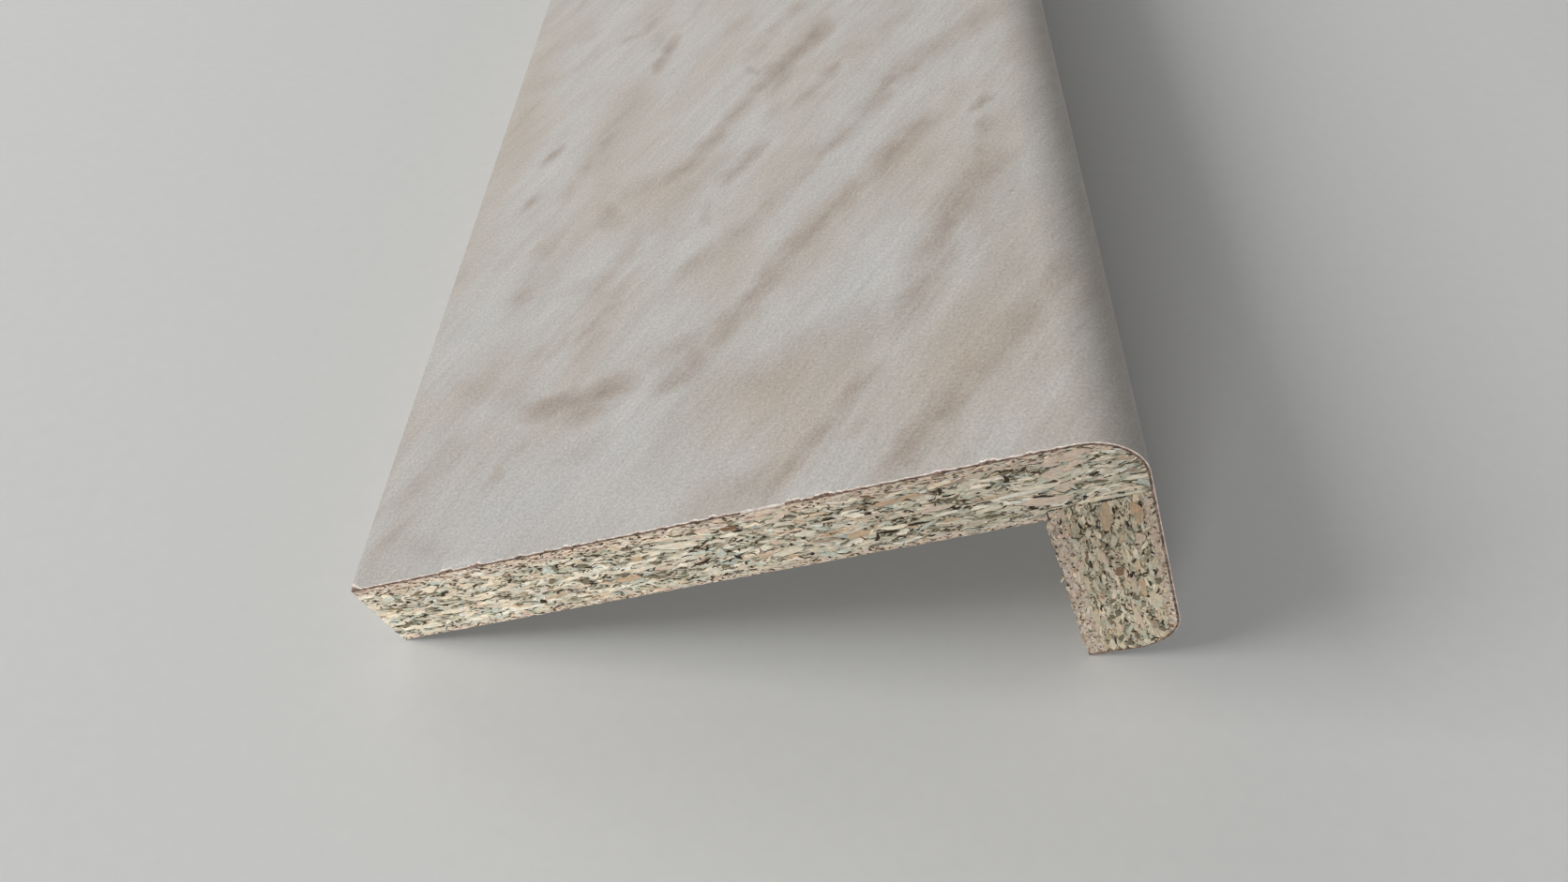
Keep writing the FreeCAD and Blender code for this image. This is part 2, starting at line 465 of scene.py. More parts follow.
@dataclass(frozen=True)
class MarbleLaminate:
    """The satin decor face of the laminate: warm grey with soft brown veins and clouds."""

    ground: Colour = srgb(186, 180, 173)
    cool: Colour = srgb(194, 191, 187)
    blush: Colour = srgb(183, 170, 156)
    vein: Colour = srgb(142, 130, 118)
    halo: Colour = srgb(172, 155, 141)
    cold: Colour = srgb(192, 190, 188)
    warm: Colour = srgb(179, 166, 151)
    vein_share: float = 0.73
    halo_share: float = 0.42
    roughness: float = 0.46
    relief: float = 0.03 * MM
    lean: float = math.radians(36)
    drawn_until: float = 185.0
    drawn_fade: float = 60.0
    wobble: float = 7.0

    def material(self) -> bpy.types.Material:
        """Builds the material on the sheet's own unrolled places.

        Returns:
            The decor material.
        """
        material, graph, shader = new_material(
            "marble_laminate", Roughness=self.roughness, IOR=1.4, Specular_IOR_Level=0.36
        )
        place = graph.attribute("sheet_place", "Vector")
        leaning = graph.stretch(place, (1.0, 1.0, 1.0), (0.0, 0.0, self.lean))
        veins = self.veins(graph, place, leaning)
        cloud = graph.lumps(leaning, (0.07, 0.028, 0.05), 4.0, 0.6)
        wash = graph.lumps(leaning, (0.035, 0.022, 0.04), 3.0, 0.55)
        streak = graph.lumps(leaning, (0.27, 0.042, 0.15), 4.0, 0.58)
        colour = graph.mix(graph.smooth(cloud, 0.34, 0.66), self.ground, self.cool)
        colour = graph.mix(graph.times(graph.smooth(wash, 0.42, 0.72), 0.6), colour, self.blush)
        for clouds, tint in ((COLD_CLOUDS, self.cold), (WARM_CLOUDS, self.warm)):
            colour = graph.mix(graph.smooth(self.drawn(graph, place, clouds), 0.0, 1.0), colour, tint)
        colour = graph.mix(graph.times(graph.smooth(veins, 0.0, 0.5), self.halo_share), colour, self.halo)
        colour = graph.mix(graph.times(veins, self.vein_share), colour, self.vein)
        colour = graph.toned(colour, graph.spread(streak, 0.885, 1.115))
        grit = graph.noise(place, 1.7, 1.0, 0.8)
        fine = graph.lumps(leaning, (1.6, 0.7, 1.0), 3.0, 0.75)
        combed = graph.lumps(leaning, (0.85, 0.09, 0.5), 3.0, 0.6)
        speckle = graph.plus(graph.spread(grit, 0.67, 1.33), graph.spread(fine, -0.16, 0.16))
        speckle = graph.plus(speckle, graph.spread(combed, -0.13, 0.13))
        graph.feed(shader["Base Color"], graph.toned(colour, speckle))
        gloss = graph.plus(graph.spread(cloud, -0.05, 0.05), graph.spread(grit, -0.04, 0.04))
        graph.feed(shader["Roughness"], graph.plus(gloss, self.roughness))
        texture = graph.plus(fine, graph.times(grit, 0.6))
        graph.feed(shader["Normal"], graph.bump(texture, self.relief, 0.6))
        return material

    def veins(self, graph: Graph, place: Socket, leaning: Socket) -> Socket:
        """The strength of the brown veins: drawn ones near the cut end, grown ones further on.

        Args:
            graph: The material's graph.
            place: Places on the unrolled sheet.
            leaning: The same places, turned to the way that the veins run.

        Returns:
            The strength from 0 to 1.
        """
        feeds = {"Vector": place, "Scale": 0.13, "Detail": 4.0}
        sway = graph.node("ShaderNodeTexNoise", feeds).outputs["Color"]
        centred = graph.vector("SUBTRACT", sway, (0.5, 0.5, 0.5)).outputs[0]
        feeds = {0: centred, "Scale": self.wobble}
        push = graph.node("ShaderNodeVectorMath", feeds, operation="SCALE").outputs[0]
        drawn = self.drawn(graph, graph.vector("ADD", place, push).outputs[0], VEINS)
        halo = graph.times(graph.math("POWER", drawn, 0.8), 0.55)
        drawn = graph.plus(halo, graph.times(graph.math("POWER", drawn, 2.0), 0.46))
        along = graph.node("ShaderNodeSeparateXYZ", {0: place}).outputs
        far = graph.smooth(along["Y"], self.drawn_until, self.drawn_until + self.drawn_fade)
        over_nose = graph.smooth(along["X"], 146.0, 160.0)
        grown = graph.times(self.grown(graph, leaning), graph.spread(graph.most(far, over_nose), 0.2, 1.0))
        veins = graph.most(graph.times(drawn, graph.math("SUBTRACT", 1.0, far)), grown)
        mottle = graph.lumps(leaning, (0.5, 0.055, 0.3), 3.0, 0.6)
        clumps = graph.noise(place, 0.42, 4.0, 0.7)
        uneven = graph.times(graph.spread(mottle, 0.45, 1.6), graph.spread(clumps, 0.4, 1.6))
        return graph.times(veins, uneven, clamp=True)

    def drawn(self, graph: Graph, place: Socket, shapes: Sequence[Stroke]) -> Socket:
        """The strongest of these strokes at each place.

        Args:
            graph: The material's graph.
            place: Places on the unrolled sheet.
            shapes: The strokes.

        Returns:
            The strength from 0 to 1.
        """
        share: object = 0.0
        for shape in shapes:
            for start, end in zip(shape.points, shape.points[1:]):
                spot = self.soft_spot(graph, place, Vector(start), Vector(end), shape.reach)
                share = graph.most(share, graph.times(spot, shape.strength))
        return share

    def soft_spot(self, graph: Graph, place: Socket, start: Vector, end: Vector, reach: float) -> Socket:
        """A soft ellipse round one stretch of a stroke, from 1 on its middle to 0 at its edge.

        Args:
            graph: The material's graph.
            place: Places on the unrolled sheet.
            start: Where the stretch starts.
            end: Where it ends.
            reach: How far the ellipse reaches to each side.

        Returns:
            The strength from 0 to 1.
        """
        spot = graph.node("ShaderNodeTexGradient", {"Vector": place}, gradient_type="SPHERICAL")
        run = end - start
        ellipse = spot.texture_mapping
        ellipse.vector_type = "TEXTURE"
        ellipse.translation = (*((start + end) / 2), 0.0)
        ellipse.rotation = (0.0, 0.0, math.atan2(run.y, run.x))
        ellipse.scale = (run.length / 2 + 1.35 * reach, 1.12 * reach, 1000.0)
        return spot.outputs["Fac"]

    def grown(self, graph: Graph, leaning: Socket) -> Socket:
        """Veins that grow from noise: broad bands, thin streaks and short dark heads.

        Args:
            graph: The material's graph.
            leaning: Places on the unrolled sheet, turned to the way that the veins run.

        Returns:
            The strength from 0 to 1.
        """
        patch = graph.smooth(graph.lumps(leaning, (0.045, 0.03, 0.05), 2.0, 0.5), 0.38, 0.66)
        shapes = []
        for scale, low, high, weak, strong in (
            ((0.085, 0.02, 0.06), 0.5, 0.78, 0.3, 0.75),
            ((0.2, 0.045, 0.12), 0.56, 0.8, 0.12, 0.62),
            ((0.2, 0.09, 0.14), 0.63, 0.8, 0.05, 0.9),
        ):
            shape = graph.smooth(graph.lumps(leaning, scale, 2.0, 0.5), low, high)
            shapes.append(graph.times(shape, graph.spread(patch, weak, strong)))
        return reduce(graph.most, shapes)


@dataclass(frozen=True)
class SheetEdge:
    """A sawn edge of the laminate: broken decor layer, or the brown paper layers beneath."""

    name: str
    colour: Colour
    shade: Colour
    roughness: float = 0.7
    relief: float = 0.05 * MM

    def material(self) -> bpy.types.Material:
        """Builds the material on Object coordinates.

        Returns:
            The edge material.
        """
        material, graph, shader = new_material(self.name, Roughness=self.roughness)
        place = graph.millimetres()
        patch = graph.smooth(graph.noise(place, 0.7, 4.0, 0.7), 0.36, 0.6)
        graph.feed(shader["Base Color"], graph.mix(patch, self.colour, self.shade))
        graph.feed(shader["Normal"], graph.bump(graph.noise(place, 5.0, 2.0), self.relief))
        return material


class Tint(Enum):
    """The colours of the chips and of the gaps between them; on gaps, pores and hollows the dark tints are
    painted shade.
    """

    IVORY = srgb(236, 227, 209)
    CREAM = srgb(224, 212, 191)
    PALE = srgb(207, 199, 180)
    SAGE = srgb(184, 181, 161)
    MINT = srgb(193, 196, 182)
    BEIGE = srgb(207, 191, 168)
    BLUSH = srgb(212, 193, 175)
    ROSE = srgb(210, 191, 174)
    BROWN = srgb(164, 144, 127)
    TAN = srgb(193, 166, 138)
    UMBER = srgb(120, 86, 62)
    # OLIVE, MOSS and VOID on the gaps, pores and hollows are painted shade in those openings
    OLIVE = srgb(144, 135, 113)
    MOSS = srgb(122, 113, 93)
    VOID = srgb(54, 45, 35)


@dataclass(frozen=True)
class PressedChips:
    """The finish of chips that a saw has cut through, with a dark rim on each chip that is partly glue and
    partly painted shade where the chips meet.
    """

    # dark olive of the chips' rims, partly glue and partly painted shade, and how strongly it shows
    glue_and_shade: Colour = srgb(92, 85, 64)
    outline: float = 0.78
    relief: float = 0.06 * MM

    def material(self) -> bpy.types.Material:
        """Builds the material on the chips' own tint, rim and grain attributes.

        Returns:
            The chip material.
        """
        material, graph, shader = new_material("pressed_chips", Roughness=0.82, Specular_IOR_Level=0.25)
        feeds = {
            "Tint": graph.attribute("tint", "Color"), "Rim": graph.attribute("rim", "Fac"),
            "Grain": graph.attribute("grain", "Vector"), "Place": graph.millimetres(),
            "Glue and shade": self.glue_and_shade, "Outline": self.outline,
        }
        chip = graph.node("ShaderNodeGroup", feeds, node_tree=chip_group()).outputs
        graph.feed(shader["Base Color"], chip["Colour"])
        graph.feed(shader["Normal"], graph.bump(chip["Height"], self.relief))
        return material


@dataclass(frozen=True)
class SandedChipboard:
    """The faces of the chipboard: fine sanded chips, and on the sawn ends a dark colour that is painted shade
    showing between the chips laid over them.
    """

    section: Section
    name: str
    pale: Colour = srgb(190, 178, 156)
    green: Colour = srgb(158, 162, 140)
    brown: Colour = srgb(140, 112, 84)
    gap_shade: Colour = srgb(70, 58, 42)
    relief: float = 0.12 * MM
    end_skin: float = 0.05

    def material(self) -> bpy.types.Material:
        """Builds the material on the board's own (u, y, w) directions.

        Returns:
            The chipboard material.
        """
        material, graph, shader = new_material(self.name, Roughness=0.8, Specular_IOR_Level=0.25)
        rest = self.section.matrix
        feeds = {
            "Vector": graph.on_object(), "Location": rest.translation, "Rotation": rest.to_euler(),
            "Scale": (MM, MM, MM),
        }
        place = graph.node("ShaderNodeMapping", feeds, vector_type="TEXTURE").outputs["Vector"]
        feeds = {"Vector": graph.stretch(place, (0.9, 0.55, 0.9)), "Scale": 1.0}
        cells = graph.node("ShaderNodeTexVoronoi", feeds).outputs["Color"]
        pick = graph.node("ShaderNodeSeparateColor", {0: cells}).outputs
        colour = graph.mix(graph.smooth(pick[0], 0.35, 0.75), self.pale, self.green)
        colour = graph.mix(graph.smooth(pick[1], 0.82, 0.9), colour, self.brown)
        fine = graph.noise(place, 1.7, 4.0, 0.7)
        colour = graph.toned(colour, graph.spread(fine, 0.72, 1.28))
        length = graph.math("ABSOLUTE", graph.node("ShaderNodeSeparateXYZ", {0: place}).outputs["Y"])
        at_end = graph.math("GREATER_THAN", length, self.section.half_length - self.end_skin)
        # painted shade: the sawn ends under the chips take the dark gap_shade colour
        graph.feed(shader["Base Color"], graph.mix(at_end, colour, self.gap_shade))
        graph.feed(shader["Normal"], graph.bump(fine, self.relief))
        return material


def deselect_all() -> None:
    """Leaves object mode with nothing selected."""
    if bpy.context.object and bpy.context.object.mode != "OBJECT":
        bpy.ops.object.mode_set(mode="OBJECT")
    bpy.ops.object.select_all(action="DESELECT")


def select_only(piece: bpy.types.Object) -> None:
    """Selects one piece and makes it the active one, with nothing else selected."""
    deselect_all()
    piece.select_set(True)
    bpy.context.view_layer.objects.active = piece


def write_attribute(mesh: bpy.types.Mesh, name: str, kind: str, values: np.ndarray) -> None:
    """Gives every point of a mesh its value of a new attribute.

    Args:
        mesh: The mesh.
        name: The attribute's name.
        kind: FLOAT, FLOAT_VECTOR or FLOAT_COLOR.
        values: One value for each point.
    """
    field = {"FLOAT": "value", "FLOAT_VECTOR": "vector", "FLOAT_COLOR": "color"}[kind]
    mesh.attributes.new(name, kind, "POINT").data.foreach_set(field, values.astype(np.float32).ravel())


@dataclass(frozen=True)
class Blank:
    """The mesh that every chip of a kind is shaped from: a lens, or one with a flat cut face."""

    places: np.ndarray
    faces: list[tuple[int, ...]]
    flat: bool

    @classmethod
    def modelled(cls, sides: int, flat: bool) -> "Blank":
        """Models the blank once, with its outline on a unit circle.

        Args:
            sides: Corners of its outline.
            flat: True to cut its top off flat, False for a plain lens.

        Returns:
            The blank's points and faces.
        """
        deselect_all()
        bpy.ops.mesh.primitive_cone_add(
            vertices=sides, radius1=1.0, radius2=0.8 if flat else 0.0, depth=1.0,
            end_fill_type="NGON" if flat else "TRIFAN",
        )
        shape = bpy.context.object
        places = np.array([vertex.co for vertex in shape.data.vertices])
        faces = [tuple(face.vertices) for face in shape.data.polygons]
        bpy.data.objects.remove(shape)
        return cls(places, faces, flat)


@dataclass(frozen=True)
class ChipKind:
    """One sort of chip, in millimetres and degrees, and the tints that it comes in."""

    sides: int
    flat: bool
    length: tuple[float, float]
    breadth: tuple[float, float]
    tints: tuple[tuple[Tint, float], ...]
    turn: float = 8.0
    lift: tuple[float, float] = (0.02, 0.12)
    crown: float = 0.04
    sink: float = 0.1
    rough: float = 0.2
    bend: float = 0.5
    rim: float = 0.14
    # outer_rim: the rim value on a chip's outer ring; the lower it is, the darker the painted shade and glue
    # there
    outer_rim: float = 0.0
    shade: tuple[float, float] = (0.8, 1.14)
    row: float = 0.5


CORE = (
    (Tint.IVORY, 0.06), (Tint.CREAM, 0.18), (Tint.PALE, 0.22), (Tint.SAGE, 0.22), (Tint.MINT, 0.08),
    (Tint.BEIGE, 0.1), (Tint.OLIVE, 0.14),
)
LONG = (
    (Tint.IVORY, 0.15), (Tint.CREAM, 0.33), (Tint.PALE, 0.18), (Tint.MINT, 0.09), (Tint.SAGE, 0.07),
    (Tint.BEIGE, 0.09), (Tint.BLUSH, 0.075), (Tint.TAN, 0.015),
)
SKIN = (
    (Tint.ROSE, 0.5), (Tint.BEIGE, 0.18), (Tint.CREAM, 0.16), (Tint.BROWN, 0.13), (Tint.OLIVE, 0.03),
)
BRIGHT = ((Tint.IVORY, 0.42), (Tint.CREAM, 0.3), (Tint.MINT, 0.16), (Tint.BLUSH, 0.12))
# tints of the openings: painted shade in the gaps, pores and hollows between chips
DARK = ((Tint.VOID, 0.24), (Tint.MOSS, 0.44), (Tint.OLIVE, 0.32))
BLACK = ((Tint.VOID, 0.6), (Tint.MOSS, 0.4))

GROUND = ChipKind(6, False, (0.9, 2.4), (0.5, 0.9), CORE, turn=15.0, bend=0.4, shade=(0.68, 1.08))
FACE = ChipKind(
    7, False, (0.7, 2.2), (0.3, 0.6), SKIN, turn=10.0, lift=(0.06, 0.15), crown=0.02, outer_rim=0.48, row=0.3,
)
FLAKE = ChipKind(
    10, True, (1.8, 5.4), (0.55, 1.25), LONG, turn=13.0, lift=(0.08, 0.2), bend=0.8, shade=(0.84, 1.1),
)
SLAB = ChipKind(
    16, True, (4.2, 8.0), (1.0, 1.8), LONG, turn=7.0, lift=(0.14, 0.18), rough=0.14, bend=0.4,
    shade=(0.9, 1.08),
)
MARKED = ChipKind(18, True, (1, 2), (1, 2), LONG, lift=(0.19, 0.23), rough=0.2, bend=0.3)
CURL = ChipKind(
    8, False, (1.3, 3.6), (0.11, 0.24), BRIGHT, turn=22.0, lift=(0.2, 0.25), crown=0.02, bend=3.4, outer_rim=0.35,
)
GAP = ChipKind(8, False, (0.9, 3.2), (0.16, 0.42), DARK, turn=18.0, lift=(0.19, 0.23), crown=0.01, bend=2.6)
HOLLOW = ChipKind(12, False, (1, 2), (1, 2), DARK, lift=(0.23, 0.25), crown=0.01, rough=0.34, bend=0.6)
SPLINTER = ChipKind(
    6, False, (0.7, 2.0), (0.16, 0.4), SKIN, lift=(0.05, 0.2), crown=0.1, sink=0.9, bend=0.6, outer_rim=0.3,
)
PORE = ChipKind(
    6, False, (0.35, 0.95), (0.22, 0.48), BLACK, turn=50.0, lift=(0.2, 0.24), crown=0.01, rough=0.3,
)
KINDS = (GROUND, FACE, FLAKE, SLAB, MARKED, CURL, GAP, HOLLOW, SPLINTER, PORE)
# the openings, whose dark tints are painted shade
OPENINGS = (GAP, PORE, HOLLOW)


@dataclass(frozen=True)
class Band:
    """A layer of the chipboard between two depths through its thickness, in millimetres."""

    low: float
    high: float
    fine: bool


class Side(Enum):
    """A sawn side: axes of its chips' length and thickness, and of the way that it faces."""

    NEAR_BOARD = (0, 2, 1, -1)
    FAR_BOARD = (0, 2, 1, 1)
    NEAR_STRIP = (2, 0, 1, -1)
    FAR_STRIP = (2, 0, 1, 1)
    REAR = (1, 2, 0, -1)


@dataclass(frozen=True)
class Landmark:
    """A chip or hollow that stands out: its middle (u, v), size and turn, in millimetres and degrees.

    v is the depth below the top face, and the turn is from the way that the board's chips lie.
    """

    place: tuple[float, float]
    size: tuple[float, float]
    tint: Tint
    turn: float


def landmarks(groups: dict[Tint, Sequence[tuple[float, ...]]]) -> tuple[Landmark, ...]:
    """Lists the marked chips of each tint, from their u, v, length, breadth and turn."""
    return tuple(
        Landmark((u, v), (length, breadth), tint, turn)
        for tint, places in groups.items() for u, v, length, breadth, turn in places
    )


@dataclass
class Scatter:
    """Chips of one kind on one side: their middles, half sizes, turns and tints."""

    kind: ChipKind
    along: np.ndarray
    through: np.ndarray
    half: np.ndarray
    turn: np.ndarray
    tint: np.ndarray

    @classmethod
    def drawn(
        cls, rng: np.random.Generator, kind: ChipKind, along: np.ndarray, through: np.ndarray, stretch: float
    ) -> "Scatter":
        """Draws sizes, turns and tints for chips with their middles at these places.

        Args:
            rng: The side's own random numbers.
            kind: The sort of chip.
            along: Places along their length.
            through: Places through the thickness.
            stretch: How much longer than usual they are.

        Returns:
            The chips.
        """
        count = along.size
        length = rng.uniform(*kind.length, count) * stretch / 2
        breadth = rng.uniform(*kind.breadth, count) / 2
        turn = np.radians(rng.normal(0, kind.turn, count))
        shares = np.array([share for _, share in kind.tints])
        picked = rng.choice(len(shares), count, p=shares / shares.sum())
        palette = np.array([tint.value for tint, _ in kind.tints])
        warmth = rng.normal(0, 0.025, (count, 1)) * np.array([1.0, 0.0, -1.4])
        tint = palette[picked] * rng.uniform(*kind.shade, (count, 1)) * (1 + warmth)
        return cls(kind, along, through, np.stack([length, breadth], axis=1), turn, tint)


@dataclass
class SawnSide:
    """A sawn side of a chipboard piece, covered with the chips that the saw cut through.

    flakes, slabs, curls, gaps and pores say how many of each lie on a square millimetre. tone
    runs along the span and is painted light and shade, lighter where more light falls and darker
    where less does. calm draws the tints together, skin and hue tint the fine and coarse
    layers, and closed widens the fine chips until little shows between them.
    """

    name: str
    slot: str
    side: Side
    section: Section
    level: float
    span: tuple[float, float]
    bands: tuple[Band, ...]
    outline: Callable[[np.ndarray, np.ndarray], Points]
    seed: int
    stretch: float = 1.0
    flakes: float = 0.5
    slabs: float = 0.025
    curls: float = 0.3
    gaps: float = 0.24
    pores: float = 0.12
    tone: tuple[float, ...] = (1.0,)
    hue: Colour = (1.0, 1.0, 1.0)
    skin: float = 1.0
    calm: float = 1.0
    closed: float = 0.0
    landmarks: tuple[Landmark, ...] = ()
    splinters: tuple[Landmark, ...] = ()
    loose_splinters: int = 52
    splinter_depth: tuple[float, float] = (-0.3, 0.1)
    bedded: bool = True
    overlap: float = 0.8
    uneven_rows: tuple[float, float] = (0.42, 0.35)
    band_margin: float = 0.3
    mark_margin: tuple[float, float] = (0.5, 0.2)
    boxy: tuple[float, float] = (-0.6, 0.35)
    smooth_below: float = math.radians(35)

    def __post_init__(self) -> None:
        """Starts the side's own random numbers."""
        self.rng = np.random.default_rng(self.seed)

    def build(self, blanks: dict[tuple[int, bool], Blank], finish: bpy.types.Material) -> bpy.types.Object:
        """Builds the joined mesh of all the chips on this side.

        Args:
            blanks: The modelled blank for each number of corners and shape.
            finish: The chips' material.

        Returns:
            The finished piece, riding on the body.
        """
        meshes = [self.shaped(chips, blanks[chips.kind.sides, chips.kind.flat]) for chips in self.laid()]
        piece = joined(self.name, meshes, self.inside_out)
        self.section.lay(piece)
        piece.data.materials.append(finish)
        select_only(piece)
        bpy.ops.object.shade_smooth_by_angle(angle=self.smooth_below)
        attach(piece, BODY)
        return piece

    @property
    def inside_out(self) -> bool:
        """Whether this side's axes turn a blank's faces inwards."""
        *axes, sign = self.side.value
        return (axes in ([0, 1, 2], [1, 2, 0], [2, 0, 1])) != (sign > 0)

    def laid(self) -> list[Scatter]:
        """Lays chips in every band, first the ground in rows and then the larger ones on it.

        Returns:
            The chips of each kind.
        """
        chips = [self.ground(band) for band in self.bands if self.bedded]
        for kind, share in ((FLAKE, self.flakes), (SLAB, self.slabs)):
            chips += self.strewn(kind, share / self.stretch, self.stretch)
        chips += self.marked(MARKED, self.landmarks)
        for kind, share in ((GAP, self.gaps), (CURL, self.curls), (PORE, self.pores)):
            chips += self.strewn(kind, share, 1.0)
        chips += self.marked(HOLLOW, self.landmarks)
        chips += self.marked(SPLINTER, self.splinters)
        if self.splinters:
            along = self.rng.uniform(self.span[0] + 1, self.section.underside, self.loose_splinters)
            inner = self.section.strip_inner + self.rng.uniform(*self.splinter_depth, along.size)
            chips.append(Scatter.drawn(self.rng, SPLINTER, along, inner, 1.0))
        return chips

    def ground(self, band: Band) -> Scatter:
        """Lays overlapping rows of chips that cover one band.

        Args:
            band: The layer to cover.

        Returns:
            The chips.
        """
        kind = FACE if band.fine else GROUND
        start, end = self.span
        rows = max(1, round((band.high - band.low) / kind.row))
        pitch = sum(kind.length) / 2 * self.stretch * self.overlap
        count = int((end - start) / pitch) + 1
        row = np.repeat(np.arange(rows), count)
        step = np.tile(np.arange(count), rows)
        sideways, upwards = self.uneven_rows
        along = start + (step + self.rng.uniform(-sideways, sideways, row.size) + (row % 2) / 2) * pitch
        share = (row + 0.5 + self.rng.uniform(-upwards, upwards, row.size)) / rows
        ground = Scatter.drawn(self.rng, kind, along, band.low + share * (band.high - band.low), self.stretch)
        ground.half[:, 1] *= 1 + self.closed * band.fine
        return ground

    def strewn(self, kind: ChipKind, share: float, stretch: float) -> list[Scatter]:
        """Strews chips over the coarse bands, clear of the marked ones.

        Args:
            kind: The sort of chip.
            share: How many to a square millimetre.
            stretch: How much longer than usual they are.

        Returns:
            The chips of each coarse band.
        """
        chips = []
        for band in self.bands:
            if band.fine:
                continue
            count = int((self.span[1] - self.span[0]) * (band.high - band.low) * share)
            through = self.rng.uniform(band.low - self.band_margin, band.high + self.band_margin, count)
            along = self.rng.uniform(*self.span, count)
            clear = self.clear_of_marks(along, through)
            chips.append(Scatter.drawn(self.rng, kind, along[clear], through[clear], stretch))
        return chips

    def clear_of_marks(self, along: np.ndarray, through: np.ndarray) -> np.ndarray:
        """Finds which places lie outside every marked chip, so that nothing covers it.

        Args:
            along: Places along the chips' length.
            through: Places through the thickness.

        Returns:
            True for each place that is clear.
        """
        clear = np.ones(along.size, dtype=bool)
        for mark in self.landmarks:
            middle, turn = self.along_and_through(*mark.place), math.radians(mark.turn)
            da, dt = along - middle[0], through - middle[1]
            x = (da * math.cos(turn) + dt * math.sin(turn)) / (mark.size[0] / 2 + self.mark_margin[0])
            y = (dt * math.cos(turn) - da * math.sin(turn)) / (mark.size[1] / 2 + self.mark_margin[1])
            clear &= np.hypot(x, y) > 1
        return clear

    def along_and_through(self, u: float, v: float) -> tuple[float, float]:
        """Turns a mark's (u, v) into its places along and through this side's chips."""
        w = self.section.laminate_top - v
        return (w, u) if self.side.value[0] == 2 else (u, w)

    def marked(self, kind: ChipKind, marks: Sequence[Landmark]) -> list[Scatter]:
        """Lays the marked chips, or with the kind HOLLOW the marked hollows, at their own places.

        Args:
            kind: The sort of chip to lay.
            marks: The marked chips and hollows.

        Returns:
            The chips, or nothing where none is marked.
        """
        # VOID and MOSS marks are hollows: dark patches of painted shade
        mine = [mark for mark in marks if (mark.tint in (Tint.VOID, Tint.MOSS)) == (kind is HOLLOW)]
        if not mine:
            return []
        along, through = np.array([self.along_and_through(*mark.place) for mark in mine]).T
        half = np.array([mark.size for mark in mine]) / 2
        turn = np.radians([mark.turn for mark in mine])
        return [Scatter(kind, along, through, half, turn, np.array([mark.tint.value for mark in mine]))]

    def shaped(self, chips: Scatter, blank: Blank) -> dict:
        """Shapes a copy of the blank for each chip and puts it on this side.

        Args:
            chips: The chips of one kind.
            blank: The mesh that they are shaped from.

        Returns:
            The points, faces and attributes of all these chips.
        """
        kind, unit = chips.kind, blank.places
        count = chips.along.size
        corner = np.round(np.arctan2(unit[:, 1], unit[:, 0]) / math.tau * kind.sides).astype(int) % kind.sides
        uneven = 1 + self.rng.uniform(-kind.rough, kind.rough, (count, kind.sides))[:, corner]
        length, breadth = chips.half[:, :1], chips.half[:, 1:]
        reach = np.hypot(unit[:, 0], unit[:, 1])
        way = unit[:, :2] / np.maximum(reach, TINY)[:, None]
        boxy = self.rng.uniform(*self.boxy, count)[:, None]
        x_out = way[:, 0] * (1 + np.maximum(boxy, 0) * way[:, 1] ** 2) * uneven
        y_out = way[:, 1] * (1 + boxy * way[:, 0] ** 2) * uneven
        top = unit[:, 2] > 0
        centre = reach < 0.1
        inset = np.where(top & ~centre, kind.rim, 0.0)
        x = np.where(centre, 0.0, x_out * np.maximum(length - inset, length * 0.5))
        y = np.where(centre, 0.0, y_out * np.maximum(breadth - inset, breadth * 0.45))
        grain = np.stack([x, y, np.broadcast_to(self.rng.uniform(0, 500, count)[:, None], x.shape)], axis=-1)
        bend = self.rng.normal(0, kind.bend, count)[:, None]
        sway = self.rng.normal(0, kind.bend * 0.6, count)[:, None]
        y = y + breadth * (bend * (x / length) ** 2 + sway * np.sin(math.pi * x / length) * 0.5)
        lift = self.rng.uniform(*kind.lift, count)[:, None]
        sunk = ~top if blank.flat else ~top & centre
        height = np.where(sunk, -kind.sink, lift - kind.crown * ~top)
        placed = self.placed(chips, x, y, height)
        # painted light and shade: tone scales every chip's tint along the span
        share = (placed[..., self.side.value[0]] - self.span[0]) / (self.span[1] - self.span[0])
        tone = np.interp(share, np.linspace(0, 1, len(self.tone)), self.tone)
        # rim below 1 darkens the chip's edge in the material, partly glue and partly painted shade
        rim = np.where(top, 1.0, kind.outer_rim + self.closed * (1 - kind.outer_rim) * (kind is FACE))
        if kind in OPENINGS:
            rim = np.ones(unit.shape[0])
        return {
            "places": placed, "faces": blank.faces, "tint": self.tinted(chips)[:, None, :] * tone[..., None],
            "grain": grain, "rim": np.broadcast_to(rim, x.shape),
        }

    def placed(self, chips: Scatter, x: np.ndarray, y: np.ndarray, height: np.ndarray) -> np.ndarray:
        """Turns shaped chips and puts them on this side, inside its outline but for splinters.

        Args:
            chips: The chips of one kind.
            x: Each point's place along its chip.
            y: Its place across the chip.
            height: Its height on the sawn face.

        Returns:
            The (u, y, w) place of each point of each chip.
        """
        first, second, third, sign = self.side.value
        turn = chips.turn[:, None]
        places = np.zeros((*x.shape, 3))
        places[..., first] = chips.along[:, None] + x * np.cos(turn) - y * np.sin(turn)
        places[..., second] = chips.through[:, None] + x * np.sin(turn) + y * np.cos(turn)
        places[..., third] = self.level + sign * height
        if chips.kind is not SPLINTER:
            a, b = sorted((first, second))
            places[..., a], places[..., b] = self.outline(places[..., a], places[..., b])
        return places

    def tinted(self, chips: Scatter) -> np.ndarray:
        """Draws the chips' tints together and gives them this side's hue; openings keep their own dark tints,
        which are painted shade.

        Args:
            chips: The chips of one kind.

        Returns:
            The tint of each chip.
        """
        if chips.kind in OPENINGS:
            return chips.tint
        fine = chips.kind is FACE
        middle = np.array(Tint.ROSE.value if fine else Tint.PALE.value)
        return (middle + (chips.tint - middle) * self.calm) * (self.skin if fine else np.array(self.hue))


